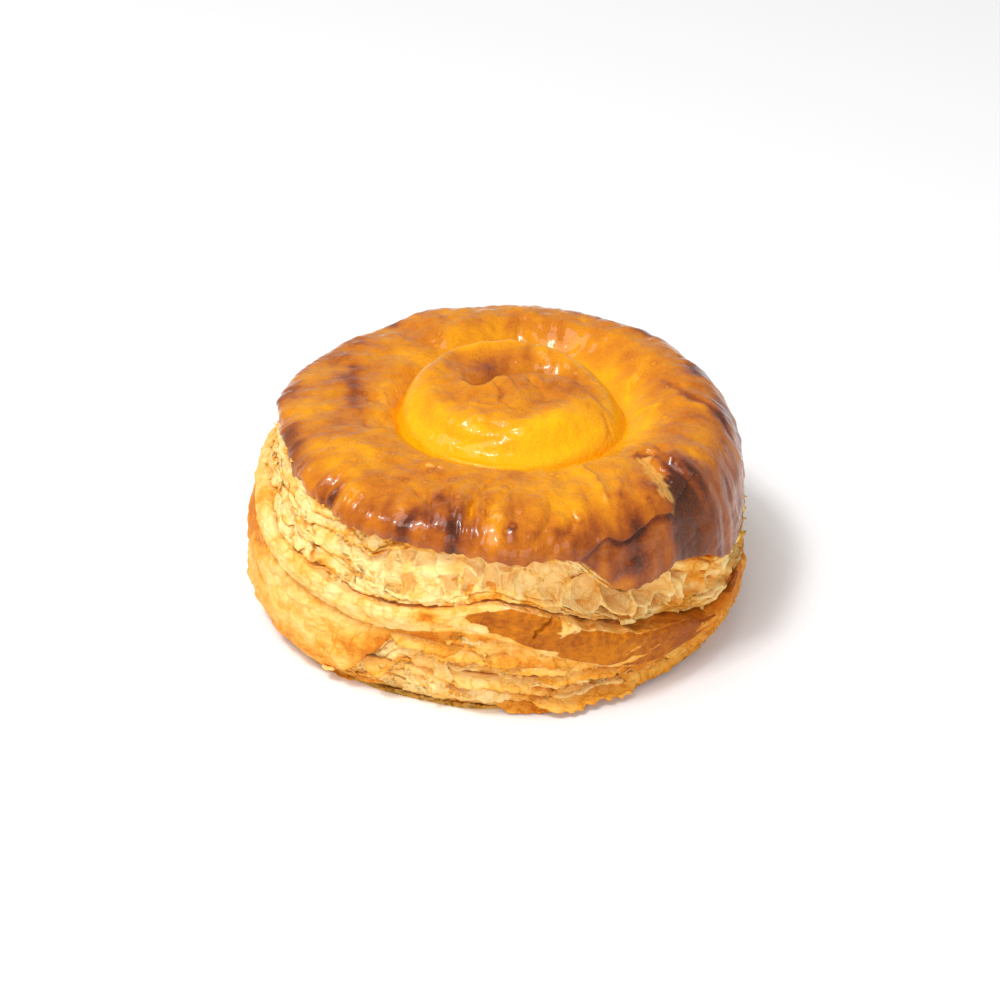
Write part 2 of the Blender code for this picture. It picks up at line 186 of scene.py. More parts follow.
# Ribs, pleats and streaks of the lid: height, half width, change of colour and the points they run through.
# Most are paler on a rib, a painted highlight, and darker in a pleat, painted shade; a few are real brown
# streaks.
LID_LINES = (
    (0.5, 0.7, -0.16, ((32.4, 19.6), (28.6, 15.3), (27.1, 4.8))),
    (0.35, 0.6, -0.12, ((36.3, 7.1), (33.0, 0.0), (31.1, -4.6), (33.9, -6.3))),
    (0.3, 0.5, -0.1, ((28.5, 1.5), (32.0, 3.4), (36.0, 1.5))),
    (0.45, 0.6, -0.14, ((24.8, -17.1), (27.5, -17.5), (29.6, -19.2))),
    (0.5, 0.7, -0.16, ((13.3, -27.1), (15.5, -29.5), (18.8, -34.1), (19.9, -38.5), (21.2, -43.6))),
    (0.35, 0.5, -0.1, ((22.0, -30.5), (24.0, -36.0), (23.0, -42.0))),
    (-0.8, 0.6, 0.14, ((-3.5, -34.1), (-7.2, -43.0), (-8.4, -47.8), (-8.8, -51.0))),
    (-0.7, 0.6, 0.12, ((0.6, -37.4), (-3.3, -43.5), (-4.7, -48.0), (-5.0, -52.0))),
    (-0.5, 0.6, 0.12, ((13.5, -44.1), (13.4, -49.0), (9.2, -52.6))),
    (-0.45, 0.5, 0.1, ((9.0, -47.2), (7.1, -50.5), (5.5, -52.6))),
    (0.6, 1.5, -0.04, ((-5.2, -37.0), (-6.2, -44.0), (-6.8, -51.0))),
    (0.5, 1.5, -0.06, ((-0.8, -40.0), (-1.8, -50.0))),
    (0.5, 1.6, 0.0, ((-11.0, -42.0), (-11.8, -50.0))), (-0.6, 0.7, 0.1, ((-9.6, -46.0), (-10.6, -51.5))),
    (-0.9, 1.0, 0.22, ((-14.5, -43.5), (-12.2, -39.4))),
    (0.5, 1.2, -0.1, ((-14.6, -38.4), (-12.0, -36.2), (-9.6, -35.6))),
    (0.3, 1.3, 0.24, ((-32.6, 20.6), (-33.5, 14.0), (-32.5, 3.5), (-31.2, -3.0))),
    (-0.5, 0.9, 0.3, ((-32.4, 20.6), (-34.6, 21.4))),
    (-1.0, 1.1, 0.2, ((-29.4, 5.4), (-27.6, 3.2))),
    (0.4, 0.8, -0.06, ((-26.4, 9.0), (-25.0, 2.0), (-24.6, -6.0))),
    (-0.35, 0.6, 0.1, ((-27.6, -12.0), (-29.4, -6.0))), (0.35, 0.9, -0.12, ((-33.6, -12.0), (-31.6, -9.0))),
    (-0.35, 0.9, 0.3, ((40.1, 5.7), (45.5, 1.5), (50.6, -4.0))),
    (-0.3, 0.7, 0.2, ((36.0, 12.6), (39.0, 9.4), (42.0, 3.0))),
    (-0.7, 0.7, 0.14, ((33.2, -18.8), (35.3, -23.0))), (0.35, 0.7, -0.04, ((34.8, -18.0), (36.8, -22.4))),
    (-0.8, 0.7, 0.34, ((30.6, -25.0), (29.2, -23.2), (30.6, -21.4), (32.8, -22.8))),
    (-0.5, 0.9, 0.24, ((32.8, -22.8), (35.6, -27.0), (38.6, -31.0), (40.2, -34.0))),
    (0.5, 0.9, 0.05, ((34.6, -22.8), (38.4, -27.4), (41.6, -31.8))),
    (-0.4, 0.7, 0.1, ((-22.0, -37.0), (-24.0, -44.0))), (-0.4, 0.6, 0.1, ((-33.0, -30.0), (-38.6, -34.4))),
    (0.4, 1.0, -0.06, ((-30.0, -33.0), (-34.8, -38.8))),
    (-0.5, 0.8, 0.16, ((-36.0, -36.4), (-33.6, -34.2))),
    (-0.45, 0.8, 0.1, ((21.0, 41.0), (24.0, 44.0))), (-0.4, 0.9, 0.1, ((-12.0, 36.0), (-14.6, 43.0))),
    (0.4, 0.9, 0.0, ((-22.0, 30.0), (-27.0, 37.0))), (-0.4, 0.8, 0.1, ((2.0, 33.0), (2.6, 43.0))),
    (-0.3, 0.8, 0.08, ((38.0, 22.0), (44.0, 26.0))),
)
# Places where the glaze tore open, as half width and points in millimetres
LID_TEARS = (
    (0.8, ((30.2, -24.2), (31.4, -27.4), (33.0, -31.0))),
    (1.15, ((32.4, -29.6), (33.4, -32.4), (34.0, -34.2))),
    (0.6, ((30.4, -22.9), (31.8, -22.6))), (0.45, ((-14.9, -28.6), (-14.0, -28.9))),
)

# Baking

# How baked the lid is from its centre out, as (millimetres, share)
LID_BAKE = (
    (0, 0.5), (9, 0.47), (15, 0.4), (19, 0.27), (23, 0.1), (25.5, 0.05), (27, 0.39), (33, 0.5), (39, 0.52),
    (44, 0.54), (48, 0.57), (51, 0.66), (54, 0.72),
)
# Paler and darker places of the lid: degrees, radius in mm, half width in degrees, half depth, amount
LID_PATCHES = (
    (270, 19, 62, 5.0, -0.24), (10, 18, 26, 4.5, 0.26), (95, 14, 38, 6, 0.12), (150, 16, 26, 5, 0.12),
    (213, 39, 9, 5.0, -0.30), (222, 45, 5, 2.5, -0.22), (203, 44, 8, 3, -0.12), (290, 35, 12, 6, -0.26),
    (286, 45, 5, 4, -0.2), (297, 44, 4, 5, -0.2), (268, 39, 4, 5, -0.1), (258, 44, 2.5, 4, 0.14),
    (340, 30, 30, 4.5, -0.24), (20, 30, 30, 4.5, -0.26), (60, 30, 24, 5, -0.3), (90, 33, 16, 4, -0.2),
    (130, 30, 12, 4, -0.22), (170, 31, 12, 3.0, 0.16), (158, 39, 8, 2.5, 0.14), (147, 44, 6, 2.5, 0.12),
    (182, 41, 7, 4, -0.16), (190, 36, 6, 4, 0.12), (235, 34, 12, 5, 0.06), (250, 50, 14, 2.6, 0.22),
    (300, 49, 7, 3.5, 0.24), (318, 49, 8, 4, 0.34), (330, 47, 7, 5, 0.16), (197, 47, 10, 3, 0.26),
    (47, 49, 3, 2.0, 0.5), (60, 48, 4, 1.4, 0.35), (0, 49, 6, 2.4, 0.28), (22, 47, 10, 4, 0.14),
    (100, 44, 20, 4, -0.08), (106, 30, 8, 6, -0.12), (312, 38, 6, 4, -0.14),
)
# Greyish scorch and painted sheen, with the same columns
LID_SCORCH_AND_SHEEN = (
    (200, 47.5, 12, 2.4, 0.8), (168, 33, 10, 2.4, 0.12), (342, 52.5, 22, 3.4, 0.5),
    (318, 53.5, 10, 3.0, 0.3), (20, 51, 22, 2.6, 0.35), (48, 49, 4, 2, 0.4), (145, 48, 20, 2, 0.3),
    (75, 52, 30, 2, 0.2),
)
# Toasted places of the tongue: degrees, millimetres up, half width in degrees, half height, amount
TONGUE_TOAST = (
    (254, 25.0, 2.6, 1.5, 0.8), (250, 27.6, 3.0, 0.8, 0.8), (244, 27.4, 3.0, 0.8, 0.8),
    (262, 21.0, 8.0, 0.9, 0.8), (268, 18.6, 8.0, 0.9, 0.8),
)
# Small glazed places of the tongue, with the same columns but the last
GLAZED_SPOTS = ((338, 13.0, 5.0, 2.2), (105, 27.0, 12.0, 3.0), (224, 30.4, 1.5, 1.8))
# The crack in the tongue: how far round from the front and how high, in millimetres
TONGUE_CRACK = (
    (6.8, 20.8), (7.4, 21.8), (7.2, 22.5), (8.6, 22.9), (9.0, 23.7), (10.4, 24.0), (11.0, 24.6),
    (12.6, 24.9),
)
# Where the crust's roll ends over the flap that hangs on the right, as (degrees, millimetres up)
FLAP_FOLD = ((284, 37.4), (290, 38.6), (296, 39.4), (303, 39.8), (311, 40.8), (319, 42.2), (326, 43.8))

# How deep the torn-open bubbles of the dough go round the rim, as (degrees, millimetres)
UPPER_BUBBLES = (
    (0, 2.2), (20, 1.6), (60, 1.4), (120, 1.2), (180, 0.7), (205, 0.9), (225, 0.8), (240, 1.6), (255, 2.8),
    (270, 3.4), (283, 4.6), (293, 7.4), (325, 7.4), (338, 4.4), (350, 2.6),
)
LOWER_BUBBLES = (
    (0, 1.0), (60, 1.0), (120, 0.6), (180, 0.6), (225, 0.6), (240, 1.6), (265, 2.2), (285, 2.4), (300, 2.0),
    (330, 1.2),
)
# Leaves that peel away: from and to in degrees, inner and outer heights at both ends, inset, reach, seed,
# toast, thickness and sag, in millimetres
PAGES = (
    (275, 306, (4.3, 3.7), (1.8, 1.2), 3.4, 1.7, 37, 0.5, 0.35, -0.3),
    (268, 296, (2.6, 1.6), (0.5, 0.4), 2.0, 0.9, 33, 0.6, 0.35, 0.2),
    (299, 332, (5.2, 3.6), (1.8, 0.8), 2.0, -0.9, 41, 0.6, 0.3, 0.3),
    (310, 352, (7.6, 6.6), (5.0, 4.2), 2.0, -0.2, 43, 0.55, 0.3, 0.3),
    (322, 372, (9.0, 9.0), (6.6, 6.0), 2.0, 0.3, 47, 0.55, 0.3, 0.4),
    (292, 318, (3.2, 2.2), (0.5, 0.4), 2.0, -0.4, 53, 0.6, 0.3, 0.2),
    (243, 262, (18.8, 17.4), (17.2, 14.9), 1.6, 0.5, 59, 0.5, 0.3, 0.3),
    (252, 277, (17.6, 15.6), (15.2, 13.9), 1.8, 0.9, 61, 0.5, 0.3, 0.3),
    (266, 288, (15.2, 11.6), (13.4, 10.2), 1.8, 0.7, 67, 0.4, 0.3, 0.3),
    (277, 300, (11.6, 8.6), (8.6, 7.8), 1.8, 0.7, 71, 0.45, 0.35, 0.2),
    (258, 279, (11.4, 9.8), (8.4, 7.0), 1.6, 0.3, 73, 0.3, 0.35, 0.4),
    (236, 246, (10.0, 11.0), (4.6, 7.4), 1.2, 0.1, 97, 0.4, 0.3, 0.3),
)
# Browned places of the side: degrees, millimetres up, half width in degrees, half height, amount
SIDE_BROWN = (
    (224, 30.4, 2.0, 2.4, 0.6), (244, 28.4, 5, 0.9, 0.4), (236, 33.6, 9, 0.8, 0.4),
    (338, 13.0, 5, 2.4, 0.8), (199, 25.0, 6, 3.0, 0.35), (262, 20.6, 8, 0.8, 0.35),
    (246, 17.0, 3.4, 1.4, 0.3), (232, 10.0, 14, 5.0, 0.2), (208, 15.0, 14, 6.0, 0.16),
    (10, 12.0, 12, 2.0, 0.5), (60, 22.0, 14, 3.0, 0.5), (105, 27.0, 12, 3.4, 0.7),
    (150, 31.0, 12, 1.6, 0.4),
)


def clamp01(value):
    return np.clip(value, 0.0, 1.0)


def eased(value):
    """0 to 1 with soft ends."""
    share = clamp01(value)
    return share * share * (3 - 2 * share)


def smooth_through(places, values, at):
    """Values on a smooth curve through the given places, read at other places."""
    slopes = np.gradient(values, places)
    left = np.clip(np.searchsorted(places, at, side="right") - 1, 0, len(places) - 2)
    span = places[left + 1] - places[left]
    t = clamp01((at - places[left]) / span)
    start, end = values[left], values[left + 1]
    leave, arrive = slopes[left] * span, slopes[left + 1] * span
    rise = t * t * (3 - 2 * t)
    return start + rise * (end - start) + t * (1 - t) * ((1 - t) * leave - t * arrive)


def round_rim(knots, degrees):
    """Metres on a smooth closed curve through (degrees, millimetres) knots round the rim."""
    angle, value = np.array(knots, float).T
    places = np.concatenate((angle[-2:] - 360, angle, angle[:2] + 360))
    values = np.concatenate((value[-2:], value, value[:2]))
    return smooth_through(places, values, degrees) * MM


def waver(degrees, seed, slowest, fastest):
    """An uneven wave round the rim, about -1 to 1, the same for one seed each time."""
    draw = random.Random(seed)
    total = np.zeros_like(degrees)
    for turns in range(slowest, fastest + 1):
        total += draw.uniform(0.5, 1.0) * np.cos(np.radians(turns * degrees) + draw.uniform(0, math.tau))
    return total / math.sqrt(fastest - slowest + 1)


def between(value, start, end, ease_in, ease_out):
    """1 from start to end, with a soft side just inside each of them."""
    return eased((value - start) / ease_in) * eased((end - value) / ease_out)


def bell(distance, width):
    """1 in the middle, easing to 0 over about two widths."""
    return np.exp(-((distance / width) ** 2))


def zeros(*parts):
    """Zeros in the shape that the parts have together."""
    return np.zeros(np.broadcast(*parts).shape)


def on_rim(degrees):
    """x and y on a circle of radius 1."""
    return np.cos(np.radians(degrees)), np.sin(np.radians(degrees))


def cells_around(wide):
    """How many cells of that width go round the side."""
    return max(3, min(250, round(math.tau * PATTERN_RADIUS / wide)))


def apart(degrees, centre):
    return (degrees - centre + 180) % 360 - 180


def lumps(across, along, seed, around=0):
    """Smooth random values from -1 to 1 on a plane of unit cells. It closes after that many cells across."""
    draw = np.random.default_rng(seed)
    table = draw.uniform(-1, 1, (256, 256))
    column, row = np.floor(across).astype(int), np.floor(along).astype(int)
    s, t = across - column, along - row
    s, t = s * s * (3 - 2 * s), t * t * (3 - 2 * t)
    period = around or 256
    left, right = column % period, (column + 1) % period
    low, high = row % 256, (row + 1) % 256
    bottom = table[left, low] * (1 - s) + table[right, low] * s
    top = table[left, high] * (1 - s) + table[right, high] * s
    return bottom * (1 - t) + top * t


def rim_lumps(degrees, count, along, seed):
    """Lumps with so many cells round the rim, at a place along the other way that is in cells."""
    return lumps(degrees / 360 * count, along + 0 * degrees, seed, count)


def bubbles(across, along, seed, around):
    """Unit bubbles side by side: distance from the wall between two, each one's own number, and its slant."""
    draw = np.random.default_rng(seed)
    table = draw.uniform(0.1, 0.9, (2, 256, 256))
    own, turn = draw.uniform(0, 1, (256, 256)), draw.uniform(0, math.tau, (256, 256))
    across, along = np.broadcast_arrays(across, along)
    column, row = np.floor(across).astype(int), np.floor(along).astype(int)
    first, second = np.full(across.shape, 9.0), np.full(across.shape, 9.0)
    number, slant = np.zeros(across.shape), np.zeros(across.shape)
    for right in (-1, 0, 1):
        for up in (-1, 0, 1):
            key = (column + right) % around, (row + up) % 256
            off_across = column + right + table[0][key] - across
            off_along = row + up + table[1][key] - along
            gap = np.hypot(off_across, off_along)
            closer = gap < first
            second = np.where(closer, first, np.minimum(second, gap))
            number = np.where(closer, own[key], number)
            slant = np.where(closer, off_across * np.cos(turn[key]) + off_along * np.sin(turn[key]), slant)
            first = np.where(closer, gap, first)
    return second - first, number, slant


def crumple(degrees, height, wide, tall, seed):
    """Flat facets with creases between them, about -1 to 1, each so many metres wide and tall."""
    around = cells_around(wide)
    sway = 0.5 * side_lumps(degrees, height, 1.3 * wide, 1.6 * tall, seed + 1, 2)
    wall, _, slant = bubbles(degrees / 360 * around + sway, height / tall + 0.6 * sway + 40, seed, around)
    return 1.6 * slant * eased(wall / 0.3)


def nearest(x, y, line):
    """Distance in metres to a bent line through millimetre points, and how far along it that is, 0 to 1."""
    points = np.array(line) * MM
    lengths = np.hypot(*np.diff(points, axis=0).T)
    best, place, done = 1.0 + zeros(x, y), zeros(x, y), 0.0
    for start, end, long in zip(points[:-1], points[1:], lengths):
        span = (end - start) / long
        along = np.clip((x - start[0]) * span[0] + (y - start[1]) * span[1], 0, long)
        gap = np.hypot(x - start[0] - along * span[0], y - start[1] - along * span[1])
        closer = gap < best
        best = np.where(closer, gap, best)
        place = np.where(closer, (done + along) / lengths.sum(), place)
        done += long
    return best, place


def plan_lumps(x, y, size, seed, octaves=3):
    total, share = 0.0, 1.0
    for octave in range(octaves):
        total = total + share * lumps(x / size + 71.3, y / size + 37.7, seed + octave)
        size, share = size / 2.03, share * 0.55
    return total


def side_lumps(degrees, height, wide, tall, seed, octaves=3):
    """Lumps on the side that are so many metres wide and tall."""
    total, share = 0.0, 1.0
    for octave in range(octaves):
        around = cells_around(wide)
        total = total + share * rim_lumps(degrees, around, height / tall + 50, seed + octave)
        wide, tall, share = wide / 2.03, tall / 2.03, share * 0.55
    return total


def patches(table, degrees, distance):
    """The sum of soft-edged patches, from rows of degrees, millimetres, half widths and amount."""
    total = zeros(degrees, distance)
    for centre, place, wide, deep, amount in table:
        total += amount * bell(apart(degrees, centre), wide) * bell(distance - place * MM, deep * MM)
    return total


def rim_columns():
    """A row of degrees round the rim, closer together along the torn front."""
    front = np.arange(190, 345, 155 / 560)
    back = np.arange(345, 550, 205 / 440)
    return (np.concatenate((front, back)) % 360)[None, :]


def skin(name, x, y, z, marks, pole=None):
    """A mesh over rows of points that close round the rim. The first row closes to the pole, if any."""
    shape = np.broadcast(x, y, z).shape
    points = np.stack([np.broadcast_to(part, shape) for part in (x, y, z)], axis=-1)
    rows, columns = shape
    index = np.arange(rows * columns).reshape(rows, columns)
    following = np.roll(index, -1, axis=1)
    quads = np.stack((index[:-1], index[1:], following[1:], following[:-1]), axis=-1).reshape(-1, 4)
    faces = quads.tolist()
    points = points.reshape(-1, 3)
    if pole is not None:
        points = np.vstack((points, pole))
        faces += [(len(points) - 1, int(a), int(b)) for a, b in zip(index[0], following[0])]
    mesh = bpy.data.meshes.new(name.replace(" ", "_"))
    mesh.from_pydata(points.tolist(), [], faces)
    for mark, values in marks.items():
        flat = np.broadcast_to(values, shape).reshape(-1)
        if pole is not None:
            flat = np.append(flat, flat[0])
        mesh.attributes.new(mark, "FLOAT", "POINT").data.foreach_set("value", flat.astype(np.float32))
    mesh.shade_smooth()
    return mesh


def add_piece(mesh, material):
    piece = bpy.data.objects.new(mesh.name, mesh)
    bpy.context.scene.collection.objects.link(piece)
    mesh.materials.clear()
    mesh.materials.append(material)
    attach(piece, "root")
    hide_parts(NODE)
    return piece


# Lid


def groove_floor(degrees):
    return bpy.context.scene.pastry_sizes.groove_height - round_rim(GROOVE_DIP, degrees)


def in_groove(x, y):
    """A place measured so that the groove is a circle of radius 1."""
    return (x - GROOVE_CENTRE[0]) / GROOVE_SEMI_AXES[0], (y - GROOVE_CENTRE[1]) / GROOVE_SEMI_AXES[1]


def swirl_height(x, y):
    """The swirl in the middle of the lid: two lobes with a crease between them, and short folds."""
    sizes = bpy.context.scene.pastry_sizes
    across, along = in_groove(x, y)
    degrees = np.degrees(np.arctan2(along, across)) % 360
    share = clamp01(np.hypot(across, along))
    floor = groove_floor(degrees)
    rise = (sizes.swirl_height - floor) * (1 - share**6.0)
    places, heights = np.array(CREASE).T * MM
    uneven = 0.4 * MM * plan_lumps(x, y, 4 * MM, 3, 2)
    behind = y - smooth_through(places, heights, np.clip(x, places[0], places[-1])) + uneven
    reach = np.clip(1.15 - share, 0, 1) ** 0.5 * between(x, -9 * MM, 25 * MM, 5 * MM, 15 * MM)
    valley = bell(behind - 1.9 * MM, np.where(behind > 1.9 * MM, 4.8 * MM, 1.1 * MM))
    rise = rise - 6.4 * MM * reach * valley
    inside = 1 - share**8
    for centre_x, centre_y, wide, deep, high in LOBES:
        lobe = bell(x - centre_x * MM, wide * MM) * bell(y - centre_y * MM, deep * MM)
        rise = rise + lobe * high * MM * inside
    for centre_x, centre_y, length, width, turn, depth in SWIRL_FOLDS:
        turn = math.radians(turn)
        dx, dy = x - centre_x * MM, y - centre_y * MM
        down = dx * math.cos(turn) + dy * math.sin(turn)
        sideways = dy * math.cos(turn) - dx * math.sin(turn)
        rise = rise - depth * MM * bell(down, length * MM) * bell(sideways, width * MM)
    for high, wide, _, line in SWIRL_LINES:
        gap, place = nearest(x, y, line)
        rise = rise + high * MM * bell(gap, wide * MM) * np.sin(math.pi * (0.08 + 0.84 * place)) ** 0.6
    front = bell(apart(degrees, 255), 60)
    rise = rise - 2.8 * MM * front * bell(share - 0.84, 0.085) + 0.4 * MM * front * bell(share - 0.95, 0.03)
    streaks = rim_lumps(degrees, 70, share * 7, 12) * eased(share * 1.6 - 0.4)
    coarse, fine = plan_lumps(x, y, 6 * MM, 5), plan_lumps(x, y, 1.6 * MM, 9)
    rise = rise + inside * (0.35 * MM * coarse + 0.07 * MM * fine)
    return floor + (rise + inside * 0.14 * MM * streaks) * (1 - share**40)


def ring_unevenness(degrees, share):
    total = 0.45 * MM * waver(degrees, 11, 3, 9) * share
    for centre, width, place, depth in RING_DENTS:
        dent = bell(apart(degrees, centre), width) * bell(share - place, 0.4)
        total = total - depth * MM * dent * eased(share * 5)
    return total


def lid_relief(degrees, radius):
    """Pleats, ribs, lumps, blisters and tears of the lid, in metres."""
    total = zeros(degrees, radius)
    for centre, width, place, length, depth, slant in CRUST_PLEATS:
        away = apart(degrees, centre + slant * (radius / MM - place))
        total -= depth * MM * bell(away, width) * bell(radius - place * MM, length * MM)
    x, y = (radius * part for part in on_rim(degrees))
    total += lid_lines(x, y)[0] - 0.5 * MM * tear_field(x, y)
    total += 0.34 * MM * plan_lumps(x, y, 7 * MM, 21) + 0.14 * MM * plan_lumps(x, y, 2.4 * MM, 25, 2)
    streaks = rim_lumps(degrees, 110, radius / (9 * MM), 28)
    streaks = streaks + 0.5 * rim_lumps(degrees, 240, radius / (6 * MM), 29)
    total += 0.16 * MM * streaks * eased((radius - 34 * MM) / (8 * MM))
    return total + blister_field(x, y)[0]


def lid_lines(x, y):
    """Height in metres and change of colour that the lid's ribs, pleats and streaks bring: mostly a painted
    highlight on ribs and painted shade in pleats.
    """
    sway_x, sway_y = 0.5 * MM * plan_lumps(x, y, 3 * MM, 61, 2), 0.5 * MM * plan_lumps(x, y, 3 * MM, 67, 2)
    height, bake = zeros(x, y), zeros(x, y)
    for high, wide, baked, line in LID_LINES:
        gap, place = nearest(x + sway_x, y + sway_y, line)
        fade = np.sin(math.pi * (0.06 + 0.88 * place)) ** 0.6
        height += high * MM * bell(gap, wide * MM) * fade
        bake += baked * bell(gap, 1.4 * wide * MM) * fade
    return height, bake


def blister_field(x, y):
    """Height in metres and change of bake of the small blisters under the glaze: a darker ring round each
    foot is painted shade and a paler top a painted highlight.
    """
    height, bake = zeros(x, y), zeros(x, y)
    draw = random.Random(3)
    for count in range(130):
        angle, reach = math.radians(draw.uniform(0, 360)), draw.uniform(24, 52) * MM
        if count % 3 == 0:
            angle = math.radians(draw.uniform(205, 300))
        size, high = draw.uniform(0.25, 0.8) * MM, draw.uniform(0.08, 0.35)
        gap = np.hypot(x - reach * math.cos(angle), y - reach * math.sin(angle)) / size
        height += high * size * bell(gap, 1.0)
        # Darker ring round the blister's foot is painted shade, the paler top a painted highlight
        bake += 0.1 * bell(gap - 1.1, 0.5) - 0.08 * bell(gap, 0.6)
    return height, bake


def tear_field(x, y):
    """1 inside the pale torn patches of the lid."""
    total = zeros(x, y)
    for wide, line in LID_TEARS:
        gap, _ = nearest(x, y, line)
        total = np.maximum(total, eased(1.9 - gap / (wide * MM) + 0.7 * plan_lumps(x, y, 1.5 * MM, 77, 2)))
    return total


def fold_line(degrees):
    """How high the roll's end runs over the flap."""
    places, heights = np.array(FLAP_FOLD).T
    return (np.interp(degrees, places, heights) + 1.1 * waver(degrees, 61, 14, 50)) * MM


def scallops(degrees):
    """The rounded tabs of the crust's edge, from 0 in a notch to 1 on a tab, clearest at the front left."""
    arcs = np.abs(np.sin(np.radians(degrees * 62) + 2.8 * waver(degrees, 37, 3, 13))) ** 0.85
    tabs = np.abs(np.sin(np.radians(degrees * 24) + 2.4 * waver(degrees, 39, 3, 11))) ** 0.7
    arcs = arcs + (1.7 * tabs - 0.7 * arcs) * bell(apart(degrees, 220), 15)
    size = 0.65 + 0.45 * rim_lumps(degrees, 90, 0.5, 31)
    clear = 0.2 + 0.8 * between(degrees, 186, 258, 16, 16)
    return arcs * size * clear


def crust_lip_height(degrees):
    ragged = 0.34 * waver(degrees, 35, 30, 130) * eased(0.7 + 0.5 * waver(degrees, 33, 2, 7))
    uneven = 0.5 * waver(degrees, 7, 9, 20) + ragged + 0.6 - 1.4 * scallops(degrees)
    return round_rim(CRUST_LIP_HEIGHTS, degrees) + uneven * MM


def lid_frame(degrees):
    """The lid's guide curves: x and y of the groove, of the crest and of the crust's lip."""
    sizes = bpy.context.scene.pastry_sizes
    around = np.stack(on_rim(degrees))
    groove = np.array(GROOVE_CENTRE)[:, None] + np.array(GROOVE_SEMI_AXES)[:, None] * around
    shift = np.array((sizes.lid_shift, 0.0))[:, None]
    crest_radius = sizes.crest_radius - 1.5 * MM * bell(apart(degrees, 150), 40)
    crest = shift + (crest_radius + 0.7 * MM * waver(degrees, 3, 2, 6)) * around
    lip_radius = sizes.side_radius - round_rim(LIP_INSET, degrees) + 0.5 * MM * waver(degrees, 5, 7, 16)
    lip = 0.6 * shift + lip_radius * around
    return groove, crest, lip


def ring_height(degrees, share):
    crest = round_rim(CREST_HEIGHTS, degrees)
    climb = 1 - (1 - share) ** (round_rim(RING_STEEPNESS, degrees) / MM)
    floor = groove_floor(degrees)
    return floor + (crest - floor) * climb + ring_unevenness(degrees, share)


def lid_bake(x, y, z, degrees):
    """How baked, how grey with scorch and painted sheen, and how torn each point of the lid is, from 0 to 1.
    The bake also holds painted shade and painted highlights.
    """
    radius = np.hypot(x, y)
    places, shares = np.array(LID_BAKE).T
    shift = 1.6 * MM * plan_lumps(x, y, 9 * MM, 41)
    grooved = np.hypot(*in_groove(x, y))
    near = bell(grooved - 1, 0.25)
    reach = radius * (1 - near) + 26 * MM * grooved * near + shift * (1 - near)
    bake = np.interp(reach / MM, places, shares) + patches(LID_PATCHES, degrees, radius + 0.6 * shift)
    low = clamp01((44 * MM - z) / (10 * MM)) * eased((radius - 46 * MM) / (4 * MM))
    streaks = rim_lumps(degrees, 130, radius / (10 * MM), 43) * eased((radius - 38 * MM) / (8 * MM))
    broken = eased(0.5 + 1.5 * plan_lumps(x, y, 7 * MM, 46, 2)) * eased((radius - 43 * MM) / (4 * MM))
    upright = rim_lumps(degrees, 170, z / (5 * MM) + radius / (8 * MM), 44)
    streaks = streaks * (0.4 + broken) + 0.9 * upright * broken
    bake = bake + 0.06 * low + 0.1 * plan_lumps(x, y, 5 * MM, 45) + 0.11 * streaks
    # Ribs, pleats and blisters add painted highlights and painted shade to the bake
    bake = bake + lid_lines(x, y)[1] + blister_field(x, y)[1]
    # The first term darkens the hollow behind the swirl's crease: painted shade
    hollow = bell(x + 2 * MM, 11 * MM) * bell(y - 12 * MM, 5.5 * MM)
    bake = bake + 0.2 * hollow + 0.12 * bell(x - 14 * MM, 7 * MM) * bell(y + 3 * MM, 5 * MM)
    # The swirl's folds: paler on ridges as painted highlight, darker in creases as painted shade
    for _, wide, baked, line in SWIRL_LINES:
        bake = bake + baked * bell(nearest(x, y, line)[0], 1.4 * wide * MM)
    fold = z - fold_line(degrees)
    flap = between(degrees, 286, 327, 5, 6) * eased((radius - 49 * MM) / (2 * MM))
    # A darker band just under the roll's end is painted shade beneath the step; the flap below is a touch
    # paler
    bake = bake + flap * (0.2 * bell(fold + 0.8 * MM, 0.9 * MM) - 0.02 * eased(-fold / (5 * MM)))
    bake = bake - 0.3 * flap * bell(apart(degrees, 298), 5) * bell(z - 28.4 * MM, 1.8 * MM)
    # Greyish scorch on the edges, mixed with a painted sheen
    ash = patches(LID_SCORCH_AND_SHEEN, degrees, radius + 0.6 * shift) * (1 + 0.6 * plan_lumps(x, y, 6 * MM, 49))
    return {"bake": clamp01(bake), "ash": clamp01(ash), "torn": tear_field(x, y)}


def build_swirl():
    degrees = (np.arange(480) * 0.75)[None, :]
    groove, _, _ = lid_frame(degrees[0])
    share = np.linspace(0, 1, 118)[1:, None] ** 0.9
    x = POLE[0] + (groove[0] - POLE[0]) * share
    y = POLE[1] + (groove[1] - POLE[1]) * share
    z = swirl_height(x, y)
    under = (groove[0] * 1.02, groove[1] * 1.02, z[-1] - 0.8 * MM)
    x, y, z = (np.vstack((a, b[None, :])) for a, b in zip((x, y, z), under))
    angle = np.degrees(np.arctan2(y, x)) % 360
    marks = lid_bake(x, y, z, angle)
    pole = (*POLE, float(swirl_height(np.array(POLE[0]), np.array(POLE[1]))))
    return skin("swirl", x, y, z, marks, pole)


